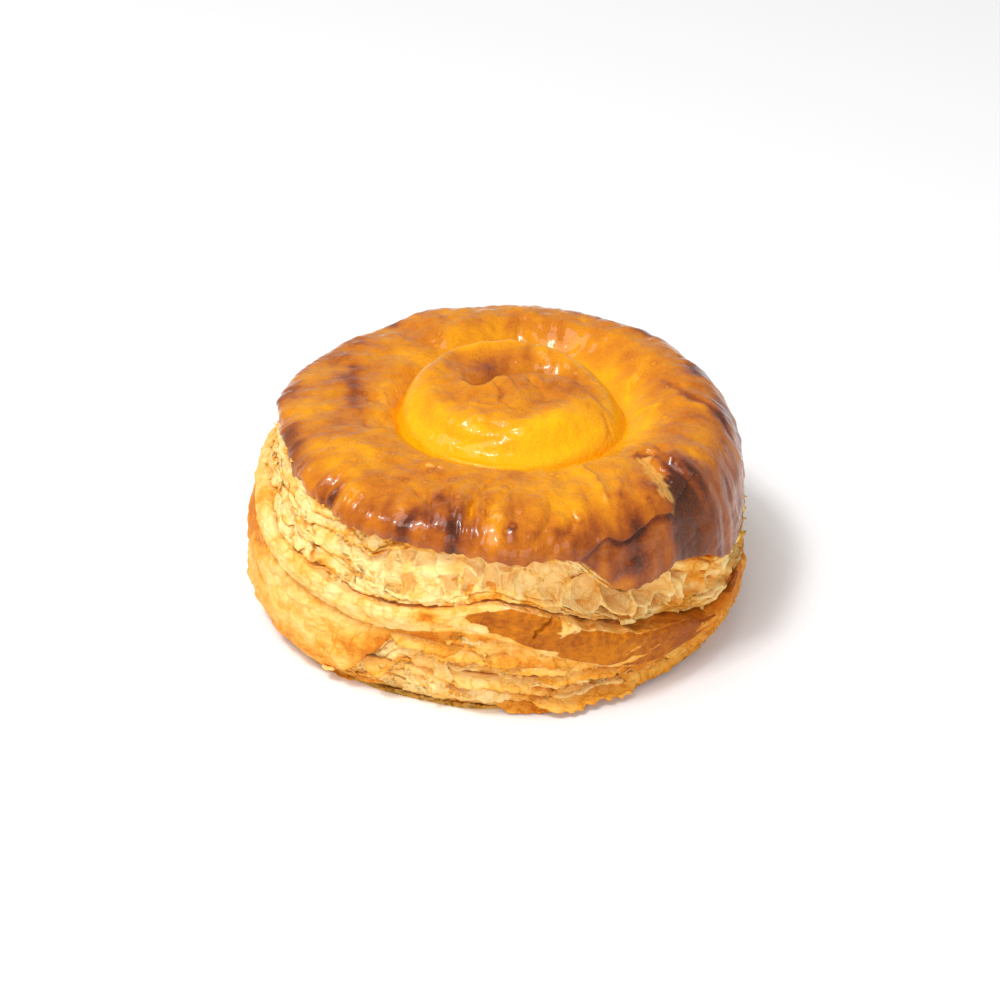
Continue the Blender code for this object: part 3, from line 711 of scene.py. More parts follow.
def shoulder(degrees, turn):
    """x, y and z of the crust's rounded shoulder, from the crest at turn 0 to the lip at turn 1."""
    _, crest, lip = lid_frame(degrees[0])
    crest_height = ring_height(degrees, np.ones_like(degrees))
    angle = np.minimum(turn, 1) * math.pi / 2
    out, down = np.sin(angle) ** 0.85, 1 - np.cos(angle) ** 0.85
    x, y = crest[0] + (lip[0] - crest[0]) * out, crest[1] + (lip[1] - crest[1]) * out
    z = crest_height + (crust_lip_height(degrees) - crest_height) * down
    radius = np.hypot(x, y)
    fade = between(degrees, 285, 329, 8, 8)
    step = fade * (eased((z - fold_line(degrees)) / (0.5 * MM)) - 1)
    relief = lid_relief(degrees, radius)
    upright = out**3
    rough = 0.45 * side_lumps(degrees, z, 8 * MM, 5 * MM, 63, 2)
    rough = rough + 0.13 * side_lumps(degrees, z, 2.4 * MM, 2 * MM, 64, 2)
    relief = relief + upright * MM * rough
    relief = relief + 0.5 * MM * scallops(degrees) * bell(turn - 0.95, 0.16)
    push = relief * upright + step * 1.7 * MM
    x, y = x * (1 + push / radius), y * (1 + push / radius)
    return x, y, z + relief * (1 - upright)


def build_ring():
    degrees = rim_columns()
    groove, crest, _ = lid_frame(degrees[0])
    share = np.linspace(0, 1, 66)[:, None] ** 1.15
    x, y = groove[0] + (crest[0] - groove[0]) * share, groove[1] + (crest[1] - groove[1]) * share
    z = ring_height(degrees, share) + lid_relief(degrees, np.hypot(x, y)) * eased(share * 3)
    x, y, z = np.vstack((x[:1] * 0.98, x)), np.vstack((y[:1] * 0.98, y)), np.vstack((z[:1] - 1.2 * MM, z))
    turn = np.linspace(0, EDGE_TURN, 34)[1:, None]
    x, y, z = (np.vstack(pair) for pair in zip((x, y, z), shoulder(degrees, turn)))
    return skin("glazed ring", x, y, z, lid_bake(x, y, z, degrees))


def build_crust_edge():
    degrees = rim_columns()
    x, y, z = shoulder(degrees, np.linspace(EDGE_TURN, 1.0, EDGE_ROWS)[:, None])
    lip = EDGE_ROWS - 1
    marks = lid_bake(x, y, z, degrees)
    marks["raw"] = np.zeros_like(z)
    for inset, drop, raw in ((0.25, 0.3, 0.35), (0.7, 0.3, 0.8), (2.0, -0.4, 1.0), (5.5, -1.4, 1.0)):
        shrink = 1 - inset * MM / np.hypot(x[lip], y[lip])
        x, y = np.vstack((x, x[lip] * shrink)), np.vstack((y, y[lip] * shrink))
        z = np.vstack((z, z[lip] - drop * MM))
        for mark, values in marks.items():
            last = np.full_like(values[-1], raw) if mark == "raw" else values[lip]
            marks[mark] = np.vstack((values, last))
    return skin("crust edge", x, y, z, marks)


# Side


def side_radius(degrees, height):
    """The side's outline, bulging at mid height and drawn in at the foot."""
    sizes = bpy.context.scene.pastry_sizes
    share = clamp01(height / (40 * MM))
    foot = (1 - clamp01(height / (9 * MM))) ** 2
    mid = sizes.side_radius + 0.5 * MM * np.sin(share * math.pi)
    drawn_in = round_rim(SIDE_INSET, degrees) * eased((height - 26 * MM) / (14 * MM))
    uneven = 0.35 * MM * waver(degrees, 17, 2, 6)
    return mid - drawn_in - (sizes.side_radius - sizes.foot_radius) * foot + uneven


def bubble_field(knots, degrees, height, top, bottom, tall, seed):
    """How deep torn-open bubbles cut in at each point, in metres, and how far inside one the point is."""
    depth = round_rim(knots, degrees)
    wide_open = between(degrees, 284, 350, 6, 10)
    sway = side_lumps(degrees, height, 8 * MM, 6 * MM, seed + 1, 2)
    along = height / tall + 0.3 * side_lumps(degrees, height, 7 * MM, 5 * MM, seed + 5, 2) + 30
    share = (top - height) / np.maximum(top - bottom, 0.5 * MM)
    within = eased(share / 0.12) * eased((1 - share) / 0.1)
    deep, inside = zeros(degrees, height), zeros(degrees, height)
    for around, stretch, chosen, some in ((76, 1.0, 1 - wide_open, 0.78), (40, 0.62, wide_open, 1.1)):
        wall, number, slant = bubbles(degrees / 360 * around + 0.25 * sway, along * stretch, seed, around)
        hole = eased((wall - 0.04) / 0.16) * within * (number < some) * chosen
        bowl = 0.55 + 0.45 * eased(wall / 0.7)
        deep = np.maximum(deep, depth * hole * bowl * (0.6 + 0.5 * number) * (1 + 0.6 * slant))
        inside = np.maximum(inside, hole * clamp01(depth / (1.5 * MM)))
    return deep, inside


def front_share(degrees):
    """1 along the torn-open front, easing to 0 round the back."""
    return between(degrees, 236, 352, 16, 16)


def leaf_bounds(degrees, leaves, seed, face):
    """Where each leaf ends, as a share of the band. Along the front one leaf, the face, takes most of it."""
    front = front_share(degrees)
    weights = []
    for leaf in range(leaves):
        swell = 1.0 * waver(degrees, seed + leaf, 1, 7) + 0.4 * waver(degrees, seed + 40 + leaf, 8, 26)
        if face is not None:
            pull = 2.1 if leaf == face else -0.5 if leaf < face else -1.0
            swell = swell * (1 - 0.5 * front) + front * pull
        weights.append(np.exp(swell))
    return np.vstack((np.zeros_like(degrees), np.cumsum(np.vstack(weights), axis=0))) / sum(weights)


# A leaf's section from its root down to its lip: how far down and how far drawn in
LEAF_SHAPE = (
    (0.0, 1.0), (0.08, 0.8), (0.16, 0.4), (0.26, 0.15), (0.4, 0.04), (0.55, 0.0), (0.85, 0.0), (0.95, 0.03),
    (1.0, 0.12),
)
# Where a small leaf's rows of points lie on that section
LEAF_ROWS = (0.0, 0.08, 0.16, 0.26, 0.4, 0.55, 0.7, 0.85, 0.95, 1.0)


def leaf_edge(degrees, leaf, seed, thick, stand, low):
    """A leaf's room, how far it stands out, how deep the gap beside it is, and how low its lip hangs."""
    sizes = bpy.context.scene.pastry_sizes
    room = clamp01(thick / (1.0 * MM)) * 0.75 + 0.25
    tear = eased(rim_lumps(degrees, 40, leaf * 3.7, seed + 300) * 5.0 - 1.2)
    tear = np.maximum(tear, eased(rim_lumps(degrees, 110, leaf * 2.3, seed + 310) * 5 - 2.4) * 0.6)
    tatter = 0.09 * waver(degrees, seed + 150 + leaf, 90, 190)
    reach = 0.8 * waver(degrees, seed + 80 + leaf, 3, 16)
    reach = reach + 0.5 * waver(degrees, seed + 110 + leaf, 18, 60)
    reach = stand + (sizes.leaf_reach * reach - 1.1 * MM * tear) * room + tatter * MM
    recess = sizes.leaf_recess * room * (1 + 0.4 * waver(degrees, seed + 180 + leaf, 6, 30))
    recess = recess * clamp01(0.75 + 0.6 * rim_lumps(degrees, 30, leaf * 1.3, seed + 320))
    ragged = 0.14 * waver(degrees, seed + 210 + leaf, 60, 150)
    ragged = ragged + 0.2 * waver(degrees, seed + 220 + leaf, 20, 50)
    lip = low - np.maximum(reach, 0) * 0.35
    lip = lip + ragged * MM * room + 0.35 * np.minimum(thick, 2 * MM) * tear
    return room, reach, recess, lip


def leaf_wall(degrees, z, seed, inset, filled):
    """The crumpled wall that a band's leaves lie on, drawn in by the inset where it isn't filled."""
    wall = side_radius(degrees, z) - 0.5 * MM - inset
    wall = wall + filled + 0.35 * MM * side_lumps(degrees, z, 7 * MM, 4 * MM, seed + 500, 2)
    facets = 0.34 * MM * (1 - 0.5 * bell(apart(degrees, 205), 35))
    return wall + facets * crumple(degrees, z, 4.6 * MM, 2.4 * MM, seed + 510)


def leaf_band(degrees, top, bottom, leaves, seed, inset, knots, tall, first=0, last=None, face=None):
    """Radius, height and marks of torn leaves between two heights, from the first leaf up to the last."""
    band = top - bottom
    bounds = leaf_bounds(degrees, leaves, seed, face)
    front = front_share(degrees)
    radius, height, toast, shade = [], [], [], []
    draw = random.Random(seed)
    stands = [draw.uniform(-0.45, 0.45) * MM for leaf in range(leaves)]
    for leaf in range(first, leaves if last is None else last):
        thick = band * (bounds[leaf + 1] - bounds[leaf])
        low = top - band * bounds[leaf + 1]
        room, reach, recess, lip = leaf_edge(degrees, leaf, seed, thick, stands[leaf], low)
        start = top - band * bounds[leaf] + 0.3 * MM
        tone = rim_lumps(degrees, 26, leaf * 5.1, seed + 400)
        lined = 0.25 + 0.95 * bell(apart(degrees, 307), 20) if face is not None and leaf < face else 1.0
        steps, outs = np.array(LEAF_SHAPE).T
        shares = np.linspace(0, 1, 42) if leaf == face else LEAF_ROWS
        for share in shares:
            out = np.interp(share, steps, outs)
            z = start + (lip - start) * share
            filled = clamp01(0.5 + rim_lumps(degrees, 60, z / (9 * MM) + 9, seed + 330)) * (leaf == face)
            wall = leaf_wall(degrees, z, seed, inset * lined, inset * 0.6 * filled)
            deep, inside = bubble_field(knots, degrees, z, start, lip, tall, seed + 900)
            if leaf != face:
                deep, inside = deep * (1 - front), inside * (1 - front)
            radius.append(wall + (reach - recess * out) * (1 - 0.92 * inside) - deep)
            height.append(z)
            mottle = side_lumps(degrees, z, 5 * MM, 3 * MM, seed + 530, 3)
            # Paler on the wall's bulges and deeper in its dips: painted highlight and painted shade
            light_on_peaks = side_lumps(degrees, z, 7 * MM, 4 * MM, seed + 500, 2)
            toasted = 0.24 - 0.06 * (leaf == face) + 0.4 * eased((share - 0.75) / 0.25) * (leaf != face)
            toasted = toasted + 0.22 * tone + 0.25 * mottle - 0.2 * light_on_peaks
            toast.append(clamp01(toasted - 0.45 * inside + 0.7 * inside * (1 - inside) * (leaf == face)))
            # Painted shade deep in the bubbles and in the recesses between leaves
            pocket_shade = inside * clamp01((deep - 4.0 * MM) / (4.0 * MM)) * clamp01(0.6 + 0.9 * mottle)
            crevice_shade = (0.6 if leaf == face else 1.0) * out**1.5 * recess / (1.6 * MM)
            shade.append(clamp01(np.maximum(crevice_shade, pocket_shade)))
        # The lip's last row tucks in, with painted shade under it
        radius.append(wall + (reach - 0.9 * MM * room) * (1 - 0.92 * inside) - deep)
        height.append(lip + 0.05 * MM)
        toast.append(toast[-1] * 0.7)
        shade.append(np.maximum(shade[-1], 0.7))
    return [np.vstack(rows) for rows in (radius, height, toast, shade)]


def slab(points, thick):
    """Vertices and faces of a thin closed leaf round a grid of middle points, thinner at its edges."""
    rows, columns = points.shape[:2]
    across, along = np.gradient(points, axis=0), np.gradient(points, axis=1)
    normal = np.cross(across, along)
    normal /= np.linalg.norm(normal, axis=-1, keepdims=True) + 1e-12
    taper = np.full((rows, columns, 1), thick / 2)
    taper[0] = taper[-1] = taper[:, 0] = taper[:, -1] = thick / 5
    vertices = np.concatenate([(points + side * normal * taper).reshape(-1, 3) for side in (1, -1)])
    index = np.arange(rows * columns).reshape(rows, columns)
    front = np.stack((index[:-1, :-1], index[1:, :-1], index[1:, 1:], index[:-1, 1:]), axis=-1)
    front = front.reshape(-1, 4)
    back = front[:, ::-1] + rows * columns
    loop = np.concatenate((index[0], index[1:, -1], index[-1, -2::-1], index[-2:0:-1, 0]))
    after = np.roll(loop, -1)
    rim = np.stack((loop, after, after + rows * columns, loop + rows * columns), axis=-1)
    return vertices, np.concatenate((front, back, rim))


def bind(name, slabs):
    """One mesh of many slabs, each a (points, thickness, toast, shade) entry."""
    points, faces, toast, shade, count = [], [], [], [], 0
    for middle, thick, baked, shaded in slabs:
        vertices, quads = slab(middle, thick)
        points.append(vertices)
        faces.append(quads + count)
        count += len(vertices)
        flat = np.broadcast_to(baked, middle.shape[:2]).reshape(-1)
        toast.append(np.concatenate((flat, flat)))
        flat = np.broadcast_to(shaded, middle.shape[:2]).reshape(-1)
        shade.append(np.concatenate((flat, flat)))
    points = np.concatenate(points)
    mesh = bpy.data.meshes.new(name.replace(" ", "_"))
    mesh.from_pydata(points.tolist(), [], np.concatenate(faces).tolist())
    angle = np.degrees(np.arctan2(points[:, 1], points[:, 0])) % 360
    marks = side_marks(angle, points[:, 2], clamp01(np.concatenate(toast)), clamp01(np.concatenate(shade)))
    for mark, values in marks.items():
        mesh.attributes.new(mark, "FLOAT", "POINT").data.foreach_set("value", values.astype(np.float32))
    work = bmesh.new()
    work.from_mesh(mesh)
    bmesh.ops.recalc_face_normals(work, faces=work.faces)
    work.to_mesh(mesh)
    work.free()
    mesh.shade_smooth()
    return mesh


def page(start, end, inner, outer, inset, reach, seed, toast=0.5, thick=0.3, sag=0.4):
    """A thin leaf that runs round the side from one angle to another. Heights and reaches are in mm."""
    columns = max(8, int((end - start) / 0.4))
    along = np.linspace(0, 1, columns)
    degrees = start + (end - start) * along
    across = np.linspace(0, 1, 9)[:, None]
    inner_height = (inner[0] + (inner[1] - inner[0]) * along) * MM
    outer_height = (outer[0] + (outer[1] - outer[0]) * along) * MM
    ends = np.minimum(along, 1 - along) * columns / 10
    full = eased(ends * 0.6 + 0.2) * (1 + 0.16 * waver(degrees, seed, 6, 30))
    full = full + 0.07 * waver(degrees, seed + 3, 60, 160)
    share = across * full
    height = inner_height + (outer_height - inner_height) * share - sag * MM * np.sin(share * 2.2) * across
    height += 0.16 * MM * waver(degrees, seed + 1, 8, 40) * across
    height = np.maximum(height, 0.12 * MM)
    radius = side_radius(degrees, inner_height) - inset * MM + (reach + inset) * MM * share
    radius = radius + 0.2 * MM * waver(degrees, seed + 2, 10, 40) * across
    cos, sin = on_rim(degrees)
    points = np.stack((radius * cos, radius * sin, np.broadcast_to(height, radius.shape)), axis=-1)
    baked = clamp01(toast + 0.35 * (across - 0.6) + 0.12 * waver(degrees, seed + 4, 5, 20))
    # Painted shade towards the page's root, where it goes in under the leaves
    return points, thick * MM, baked, clamp01(1 - share * 1.6)


def side_marks(degrees, height, toast, shade):
    ragged = 1.2 * MM * side_lumps(degrees, height, 6 * MM, 3 * MM, 901)
    shifted = degrees + 2 * side_lumps(degrees, height, 5 * MM, 3 * MM, 905, 2)
    brown = patches(SIDE_BROWN, shifted, height + ragged)
    return {"toast": toast, "shade": shade, "brown": clamp01(brown * 1.3 - 0.1)}


def side_skin(name, degrees, radius, height, toast, shade, flaky=0.0):
    cos, sin = on_rim(degrees)
    marks = side_marks(degrees, height, toast, shade)
    return skin(name, radius * cos, radius * sin, height, {**marks, "flaky": flaky + 0 * shade})


def side_lines(degrees):
    """The heights of the crust's lip, the tongue's top, the seam and the sheet's hem round the rim."""
    lip = round_rim(CRUST_LIP_HEIGHTS, degrees) + 0.5 * MM * waver(degrees, 7, 9, 20)
    seam = round_rim(SEAM_HEIGHTS, degrees) + 0.15 * MM * waver(degrees, 13, 20, 60)
    ragged = between(degrees, 232, 312, 6, 10)
    hem = round_rim(SHEET_HEM_HEIGHTS, degrees) + (0.12 + 0.4 * ragged) * MM * waver(degrees, 15, 24, 90)
    tongue = np.minimum(seam + round_rim(TONGUE_RISE, degrees), lip - 3 * MM)
    return lip, tongue, seam, hem


def build_upper_leaves(name, first, last):
    sizes = bpy.context.scene.pastry_sizes
    degrees = rim_columns()
    lip, tongue, _, _ = side_lines(degrees)
    hollow = round_rim(HOLLOW_DEPTH, degrees)
    face = sizes.upper_leaves // 2 - 1
    top, bottom = lip + 0.8 * MM, tongue + 0.3 * MM
    rows = leaf_band(degrees, top, bottom, sizes.upper_leaves, seed=100, inset=hollow,
        knots=UPPER_BUBBLES, tall=9 * MM, first=first, last=last, face=face)
    if first == 0:
        # The cover row under the crust's lip carries painted shade
        cover = (side_radius(degrees, lip) - 6.5 * MM, lip + 1.3 * MM, 0.3 + 0 * lip, 0.8 + 0 * lip)
        rows = [np.vstack(pair) for pair in zip(cover, rows)]
    else:
        # Cover and floor rows at the band's ends carry painted shade
        cover = (rows[0][0] - 4.0 * MM, rows[1][0] + 1.3 * MM, 0.3 + 0 * lip[0], 1.0 + 0 * lip[0])
        floor = (rows[0][-1] - 3.0 * MM, rows[1][-1] + 0.3 * MM, 0.3 + 0 * lip[0], 0.75 + 0 * lip[0])
        rows = [np.vstack(trio) for trio in zip(cover, rows, floor)]
    flaky = clamp01(1 - 0.9 * front_share(degrees) - rows[3]) * (1 - 0.8 * bell(apart(degrees, 205), 35))
    return side_skin(name, degrees, *rows, flaky)


def build_pages():
    """Thin leaves that peel off round the foot, the ledge and the flaky bands."""
    draw = random.Random(11)
    slabs = [page(*entry) for entry in PAGES]
    for count in range(46):
        start = draw.uniform(300, 585)
        end = start + draw.uniform(5, 22)
        middle = np.array([(start + end) / 2 % 360])
        hem = float(side_lines(middle)[3][0]) / MM
        height = draw.uniform(0.6, max(1.2, hem - 0.3))
        drop = draw.uniform(0.3, 1.6)
        slabs.append(page(
            start, end, (height, height + draw.uniform(-0.8, 0.8)), (height - drop, height - drop),
            2.0, draw.uniform(-0.5, 0.3), 1000 + 7 * count, draw.uniform(0.2, 0.7), 0.22,
            draw.uniform(-0.2, 0.6),
        ))
    return bind("peeling pages", slabs)


def tongue_glaze(degrees, height, down):
    """How glazed the tongue is: one patch with torn sides along the front, and a few small ones."""
    torn = 2.8 * side_lumps(degrees, height, 5 * MM, 2.4 * MM, 621, 4)
    peeled = eased(side_lumps(degrees, height, 7 * MM, 2.6 * MM, 623, 4) * 3 - 1.9)
    peeled = peeled * eased((degrees - 255) / 8)
    left = 262 + 6 * np.abs(down - 0.45) ** 1.2 * 2
    glazed = between(degrees, left - torn, 327 + 2 * torn, 2.5, 6)
    glazed = glazed * (1 - 0.5 * tail_fade(down)) * (1 - 0.7 * peeled)
    bare = eased((down - 0.8 + 0.02 * torn) / 0.12) * eased((283 + torn - degrees) / 5)
    glazed = glazed * (1 - 0.75 * bare)
    for place, up, wide, tall in GLAZED_SPOTS:
        patch = bell(apart(degrees, place) + 0.4 * torn, wide) * bell(height - up * MM, tall * MM)
        glazed = np.maximum(glazed, eased(1.5 * patch))
    return clamp01(glazed)


def build_tongue():
    """The upper turn's glazed tongue: a thin torn top edge, a swelling face and the lip over the seam."""
    degrees = rim_columns()
    _, top, seam, _ = side_lines(degrees)
    top = top + 0.25 * MM * waver(degrees, 43, 30, 90)
    puffed = between(degrees, 170, 262, 25, 20)
    bulge = 0.7 * MM + 0.3 * MM * waver(degrees, 41, 3, 9) + 0.6 * MM * puffed
    hollow = round_rim(HOLLOW_DEPTH, degrees)
    share = np.concatenate((np.linspace(0, 1, TONGUE_ROWS), (1.0, 1.0, 1.0)))[:, None]
    height = top + (seam - top) * share
    swell = np.sin(clamp01(share * 0.86 + 0.14) * math.pi) ** 0.6
    edge = 1 - eased(share / 0.12)
    radius = side_radius(degrees, height) + bulge * swell - edge * (0.2 * MM + 0.16 * hollow)
    radius += 0.3 * MM * side_lumps(degrees, height, 9 * MM, 4 * MM, 601)
    radius += 0.05 * MM * side_lumps(degrees, height, 2 * MM, 1 * MM, 605)
    bumpy = eased((272 - degrees) / 10) + eased((degrees - 330) / 10)
    radius += (0.12 + 0.3 * bumpy) * MM * crumple(degrees, height, 3.6 * MM, 2.2 * MM, 607)
    around = np.radians(apart(degrees, 270)) * PATTERN_RADIUS + 0 * height
    gap, place = nearest(around, height, TONGUE_CRACK)
    crack = bell(gap, (0.16 + 0.3 * place) * MM) * eased((1 - place) * 30)
    radius -= 1.5 * MM * crack
    tail = np.zeros_like(radius)
    for row, (inset, lift) in enumerate(((0.3, 0.0), (1.2, 0.15), (3.2, 0.4)), start=TONGUE_ROWS):
        radius[row] = side_radius(degrees, seam)[0] + 0.2 * MM - inset * MM
        height[row] = seam[0] + lift * MM
        tail[row] = min(1.0, inset / 2)
    radius = np.vstack((radius[0] - (5.5 * MM + hollow[0]), radius[0] - 0.3 * MM, radius))
    height = np.vstack((height[0] + 0.1 * MM, height[0] - 0.05 * MM, height))
    # Painted shade: behind the top edge, in the crack and under the lip over the seam
    shade = np.vstack((np.full_like(crack[:1], 0.8), np.full_like(crack[:1], 0.3), np.maximum(crack, tail)))
    toast = np.full_like(shade, 0.25) + 0.2 * side_lumps(degrees, height, 8 * MM, 5 * MM, 611)
    toast = toast + 0.6 * eased((degrees - 292) / 22)
    toast = toast + patches(TONGUE_TOAST, degrees, height)
    mesh = side_skin("glazed tongue", degrees, radius, height, clamp01(toast), clamp01(shade))
    down = (top[0] - height) / (top - seam)[0]
    glazed = tongue_glaze(degrees, height, down)
    mesh.attributes["brown"].data.foreach_set("value", glazed.reshape(-1).astype(np.float32))
    return mesh


def tail_fade(down):
    return clamp01(np.maximum((down - 0.9) / 0.1, (0.06 - down) / 0.06))


def build_sheet():
    """The smooth sheet that wraps the lower turn, from under the seam to its ragged hem."""
    degrees = rim_columns()
    _, _, seam, hem = side_lines(degrees)
    belly = round_rim(SHEET_BULGE, degrees)
    share = np.linspace(0, 1, 52)[:, None]
    height = seam + (hem - seam) * share
    swell = np.interp(share, (0, 0.1, 0.38, 0.7, 0.94, 1), (0.0, 0.45, 0.92, 1.0, 0.85, 0.7))
    radius = side_radius(degrees, height) - 1.2 * MM * (1 - swell) + belly * swell
    sheet = between(degrees, 90, 246, 20, 6)
    folds = side_lumps(degrees + height / MM * 1.3, height, 16 * MM, 9 * MM, 701, 2)
    radius += (0.25 + 0.3 * sheet) * MM * folds
    radius += 0.06 * MM * side_lumps(degrees, height, 2.4 * MM, 1.5 * MM, 705)
    radius += 0.8 * MM * crumple(degrees, height, 11 * MM, 8 * MM, 707)
    radius += 0.3 * MM * crumple(degrees, height, 4.6 * MM, 3.4 * MM, 709)
    radius += (1 - sheet) * (0.28 * MM * side_lumps(degrees, height, 12 * MM, 1.1 * MM, 711, 2))
    radius = np.vstack((radius[0] - 2.6 * MM, radius, radius[-1] - 0.3 * MM, radius[-1] - 2.2 * MM))
    height = np.vstack((height[0] + 0.6 * MM, height, height[-1] - 0.02 * MM, height[-1] + 0.25 * MM))
    shade = np.zeros_like(height)
    # Painted shade under the seam at the top and under the hem at the bottom
    shade[:8] = np.linspace(1, 0, 8)[:, None] ** 1.5
    shade[-1] = 0.8
    toast = 0.48 + 0.26 * side_lumps(degrees, height, 11 * MM, 6 * MM, 721) + 0 * shade
    toast = toast + 0.14 * bell(apart(degrees, 250), 20) + 0.2 * between(degrees, 286, 350, 14, 20)
    toast = toast + 0.4 * bell(apart(degrees, 190), 9) * eased((height - 14 * MM) / (8 * MM))
    toast = toast + 0.25 * bell(height - hem, 1.6 * MM)
    flaky = 0.4 * (1 - sheet) * between(degrees, 232, 300, 8, 8) + 0.9 * bell(height - hem, 0.8 * MM)
    flaky = flaky * (shade < 0.1) * (height > FLAKES_ABOVE)
    return side_skin("smooth sheet", degrees, radius, height, clamp01(toast), shade, flaky)


def foot_edge(degrees):
    """The radius of the foot's uneven edge."""
    return bpy.context.scene.pastry_sizes.foot_radius + 0.5 * MM * waver(degrees, 71, 5, 14)


def build_lower_leaves():
    sizes = bpy.context.scene.pastry_sizes
    degrees = rim_columns()
    _, _, _, hem = side_lines(degrees)
    top, bottom = hem + 0.3 * MM, np.full_like(hem, 0.35 * MM)
    rows = leaf_band(degrees, top, bottom, sizes.lower_leaves, seed=200, inset=0.5 * MM,
        knots=LOWER_BUBBLES, tall=3.6 * MM)
    radius, height, toast, shade = rows
    radius = radius + 0.9 * MM * crumple(degrees, height, 9 * MM, 4 * MM, 731) * eased(height / (2 * MM))
    height = np.maximum(height, 0.1 * MM)
    # A recess above the right front pages, with painted shade in it
    gape = between(degrees, 278, 308, 6, 5) * bell(height - 5.0 * MM, 0.8 * MM)
    radius, shade = radius - 3.0 * MM * gape, np.maximum(shade, gape)
    foot = foot_edge(degrees)
    radius = np.vstack((radius, foot, foot - 0.6 * MM))
    height = np.vstack((height, np.full_like(foot, 0.25 * MM), np.zeros_like(foot)))
    toast = np.vstack((toast, np.full_like(foot, 0.6), np.full_like(foot, 0.7)))
    # Painted shade on the foot rows, then less painted shade towards the foot
    shade = np.vstack((shade, np.full_like(foot, 0.1), np.full_like(foot, 0.4)))
    shade = shade * (0.4 + 0.6 * eased((height - 1.0 * MM) / (2 * MM)))
    flaky = clamp01(0.8 - shade) * (height > FLAKES_ABOVE)
    return side_skin("lower leaves", degrees, radius, height, 0.72 * toast, shade, flaky)


def build_underside():
    columns = 360
    degrees = (np.arange(columns) * 360 / columns)[None, :]
    foot = foot_edge(degrees) - 0.55 * MM
    radius = np.linspace(0.99, 0.05, 16)[:, None] * foot
    x, y = (radius * part for part in on_rim(degrees))
    x, y = (np.vstack((foot * part, rows)) for part, rows in zip(on_rim(degrees), (x, y)))
    uneven = clamp01(1 + plan_lumps(x, y, 7 * MM, 801))
    rise = 0.25 * MM * uneven * eased((foot - np.hypot(x, y)) / (4 * MM))
    brown = clamp01(0.5 + 0.4 * plan_lumps(x, y, 9 * MM, 811))
    # The underside carries a painted shade of 0.4 besides its toast
    mesh = skin("underside", x, y, rise, {"toast": 0.8 + 0 * x, "shade": 0.4 + 0 * x, "brown": brown})
    work = bmesh.new()
    work.from_mesh(mesh)
    work.verts.ensure_lookup_table()
    work.faces.new(list(work.verts)[:-columns - 1:-1])
    work.normal_update()
    work.to_mesh(mesh)
    work.free()
    return mesh


def feed(tree, socket, value):
    """Links the value to the socket if it comes out of a node, or else sets it there."""
    value = getattr(value, "socket", value)
    if isinstance(value, bpy.types.NodeSocket):
        tree.links.new(value, socket)
    else:
        socket.default_value = value


def new_node(tree, kind, settings, inputs):
    """Adds a node, sets its settings, then its inputs in order or by name."""
    node = tree.nodes.new(kind)
    for name, value in (settings or {}).items():
        if name == "stops":
            ramp = node.color_ramp
            while len(ramp.elements) < len(value):
                ramp.elements.new(0.5)
            for element, (place, colour) in zip(ramp.elements, value):
                element.position, element.color = place, colour
        else:
            setattr(node, name, value)
    for name, value in inputs.items() if isinstance(inputs, dict) else enumerate(inputs):
        feed(tree, node.inputs[name], value)
    return node


class Graph:
    """A node tree for geometry, with nodes added by kind and inputs fed in order or by name."""

    def __init__(self, name):
        self.tree = bpy.data.node_groups.new(name, "GeometryNodeTree")
        self.tree.interface.new_socket("Geometry", in_out="INPUT", socket_type="NodeSocketGeometry")
        self.tree.interface.new_socket("Geometry", in_out="OUTPUT", socket_type="NodeSocketGeometry")

    def ask(self, name, kind):
        kind = "NodeSocket" + kind
        return self.tree.interface.new_socket(name, in_out="INPUT", socket_type=kind).identifier

    def add(self, kind, settings=None, inputs=()):
        return new_node(self.tree, kind, settings, inputs)

    def vector(self, operation, *parts):
        return self.add("ShaderNodeVectorMath", {"operation": operation}, parts).outputs[0]


def flake_shapes(graph):
    """Small sheets, each bent its own way, to pick from."""
    variants = graph.add("GeometryNodeJoinGeometry")
    for variant in range(FLAKE_SHAPES):
        blank = graph.add("GeometryNodeMeshCube",
            inputs={"Size": (1.0, 0.62, 0.05), "Vertices X": 6, "Vertices Y": 4, "Vertices Z": 2})
        at = graph.add("GeometryNodeInputPosition").outputs[0]
        moved = graph.vector("ADD", at, (variant * 3.7, variant * 1.9, 0.4))
        flat = graph.vector("MULTIPLY", moved, (1.0, 1.0, 0.0))
        noise = graph.add("ShaderNodeTexNoise", {"noise_dimensions": "3D"},
            {"Vector": flat, "Scale": 2.6, "Detail": 3.0})
        centred = graph.vector("SUBTRACT", noise.outputs["Color"], (0.5, 0.5, 0.5))
        push = graph.vector("MULTIPLY", centred, (1.0, 1.0, 0.9))
        bent = graph.add("GeometryNodeSetPosition",
            inputs={"Geometry": blank.outputs["Mesh"], "Offset": push})
        single = graph.add("GeometryNodeGeometryToInstance", inputs=(bent.outputs[0],))
        graph.tree.links.new(single.outputs[0], variants.inputs[0])
    return variants.outputs[0]


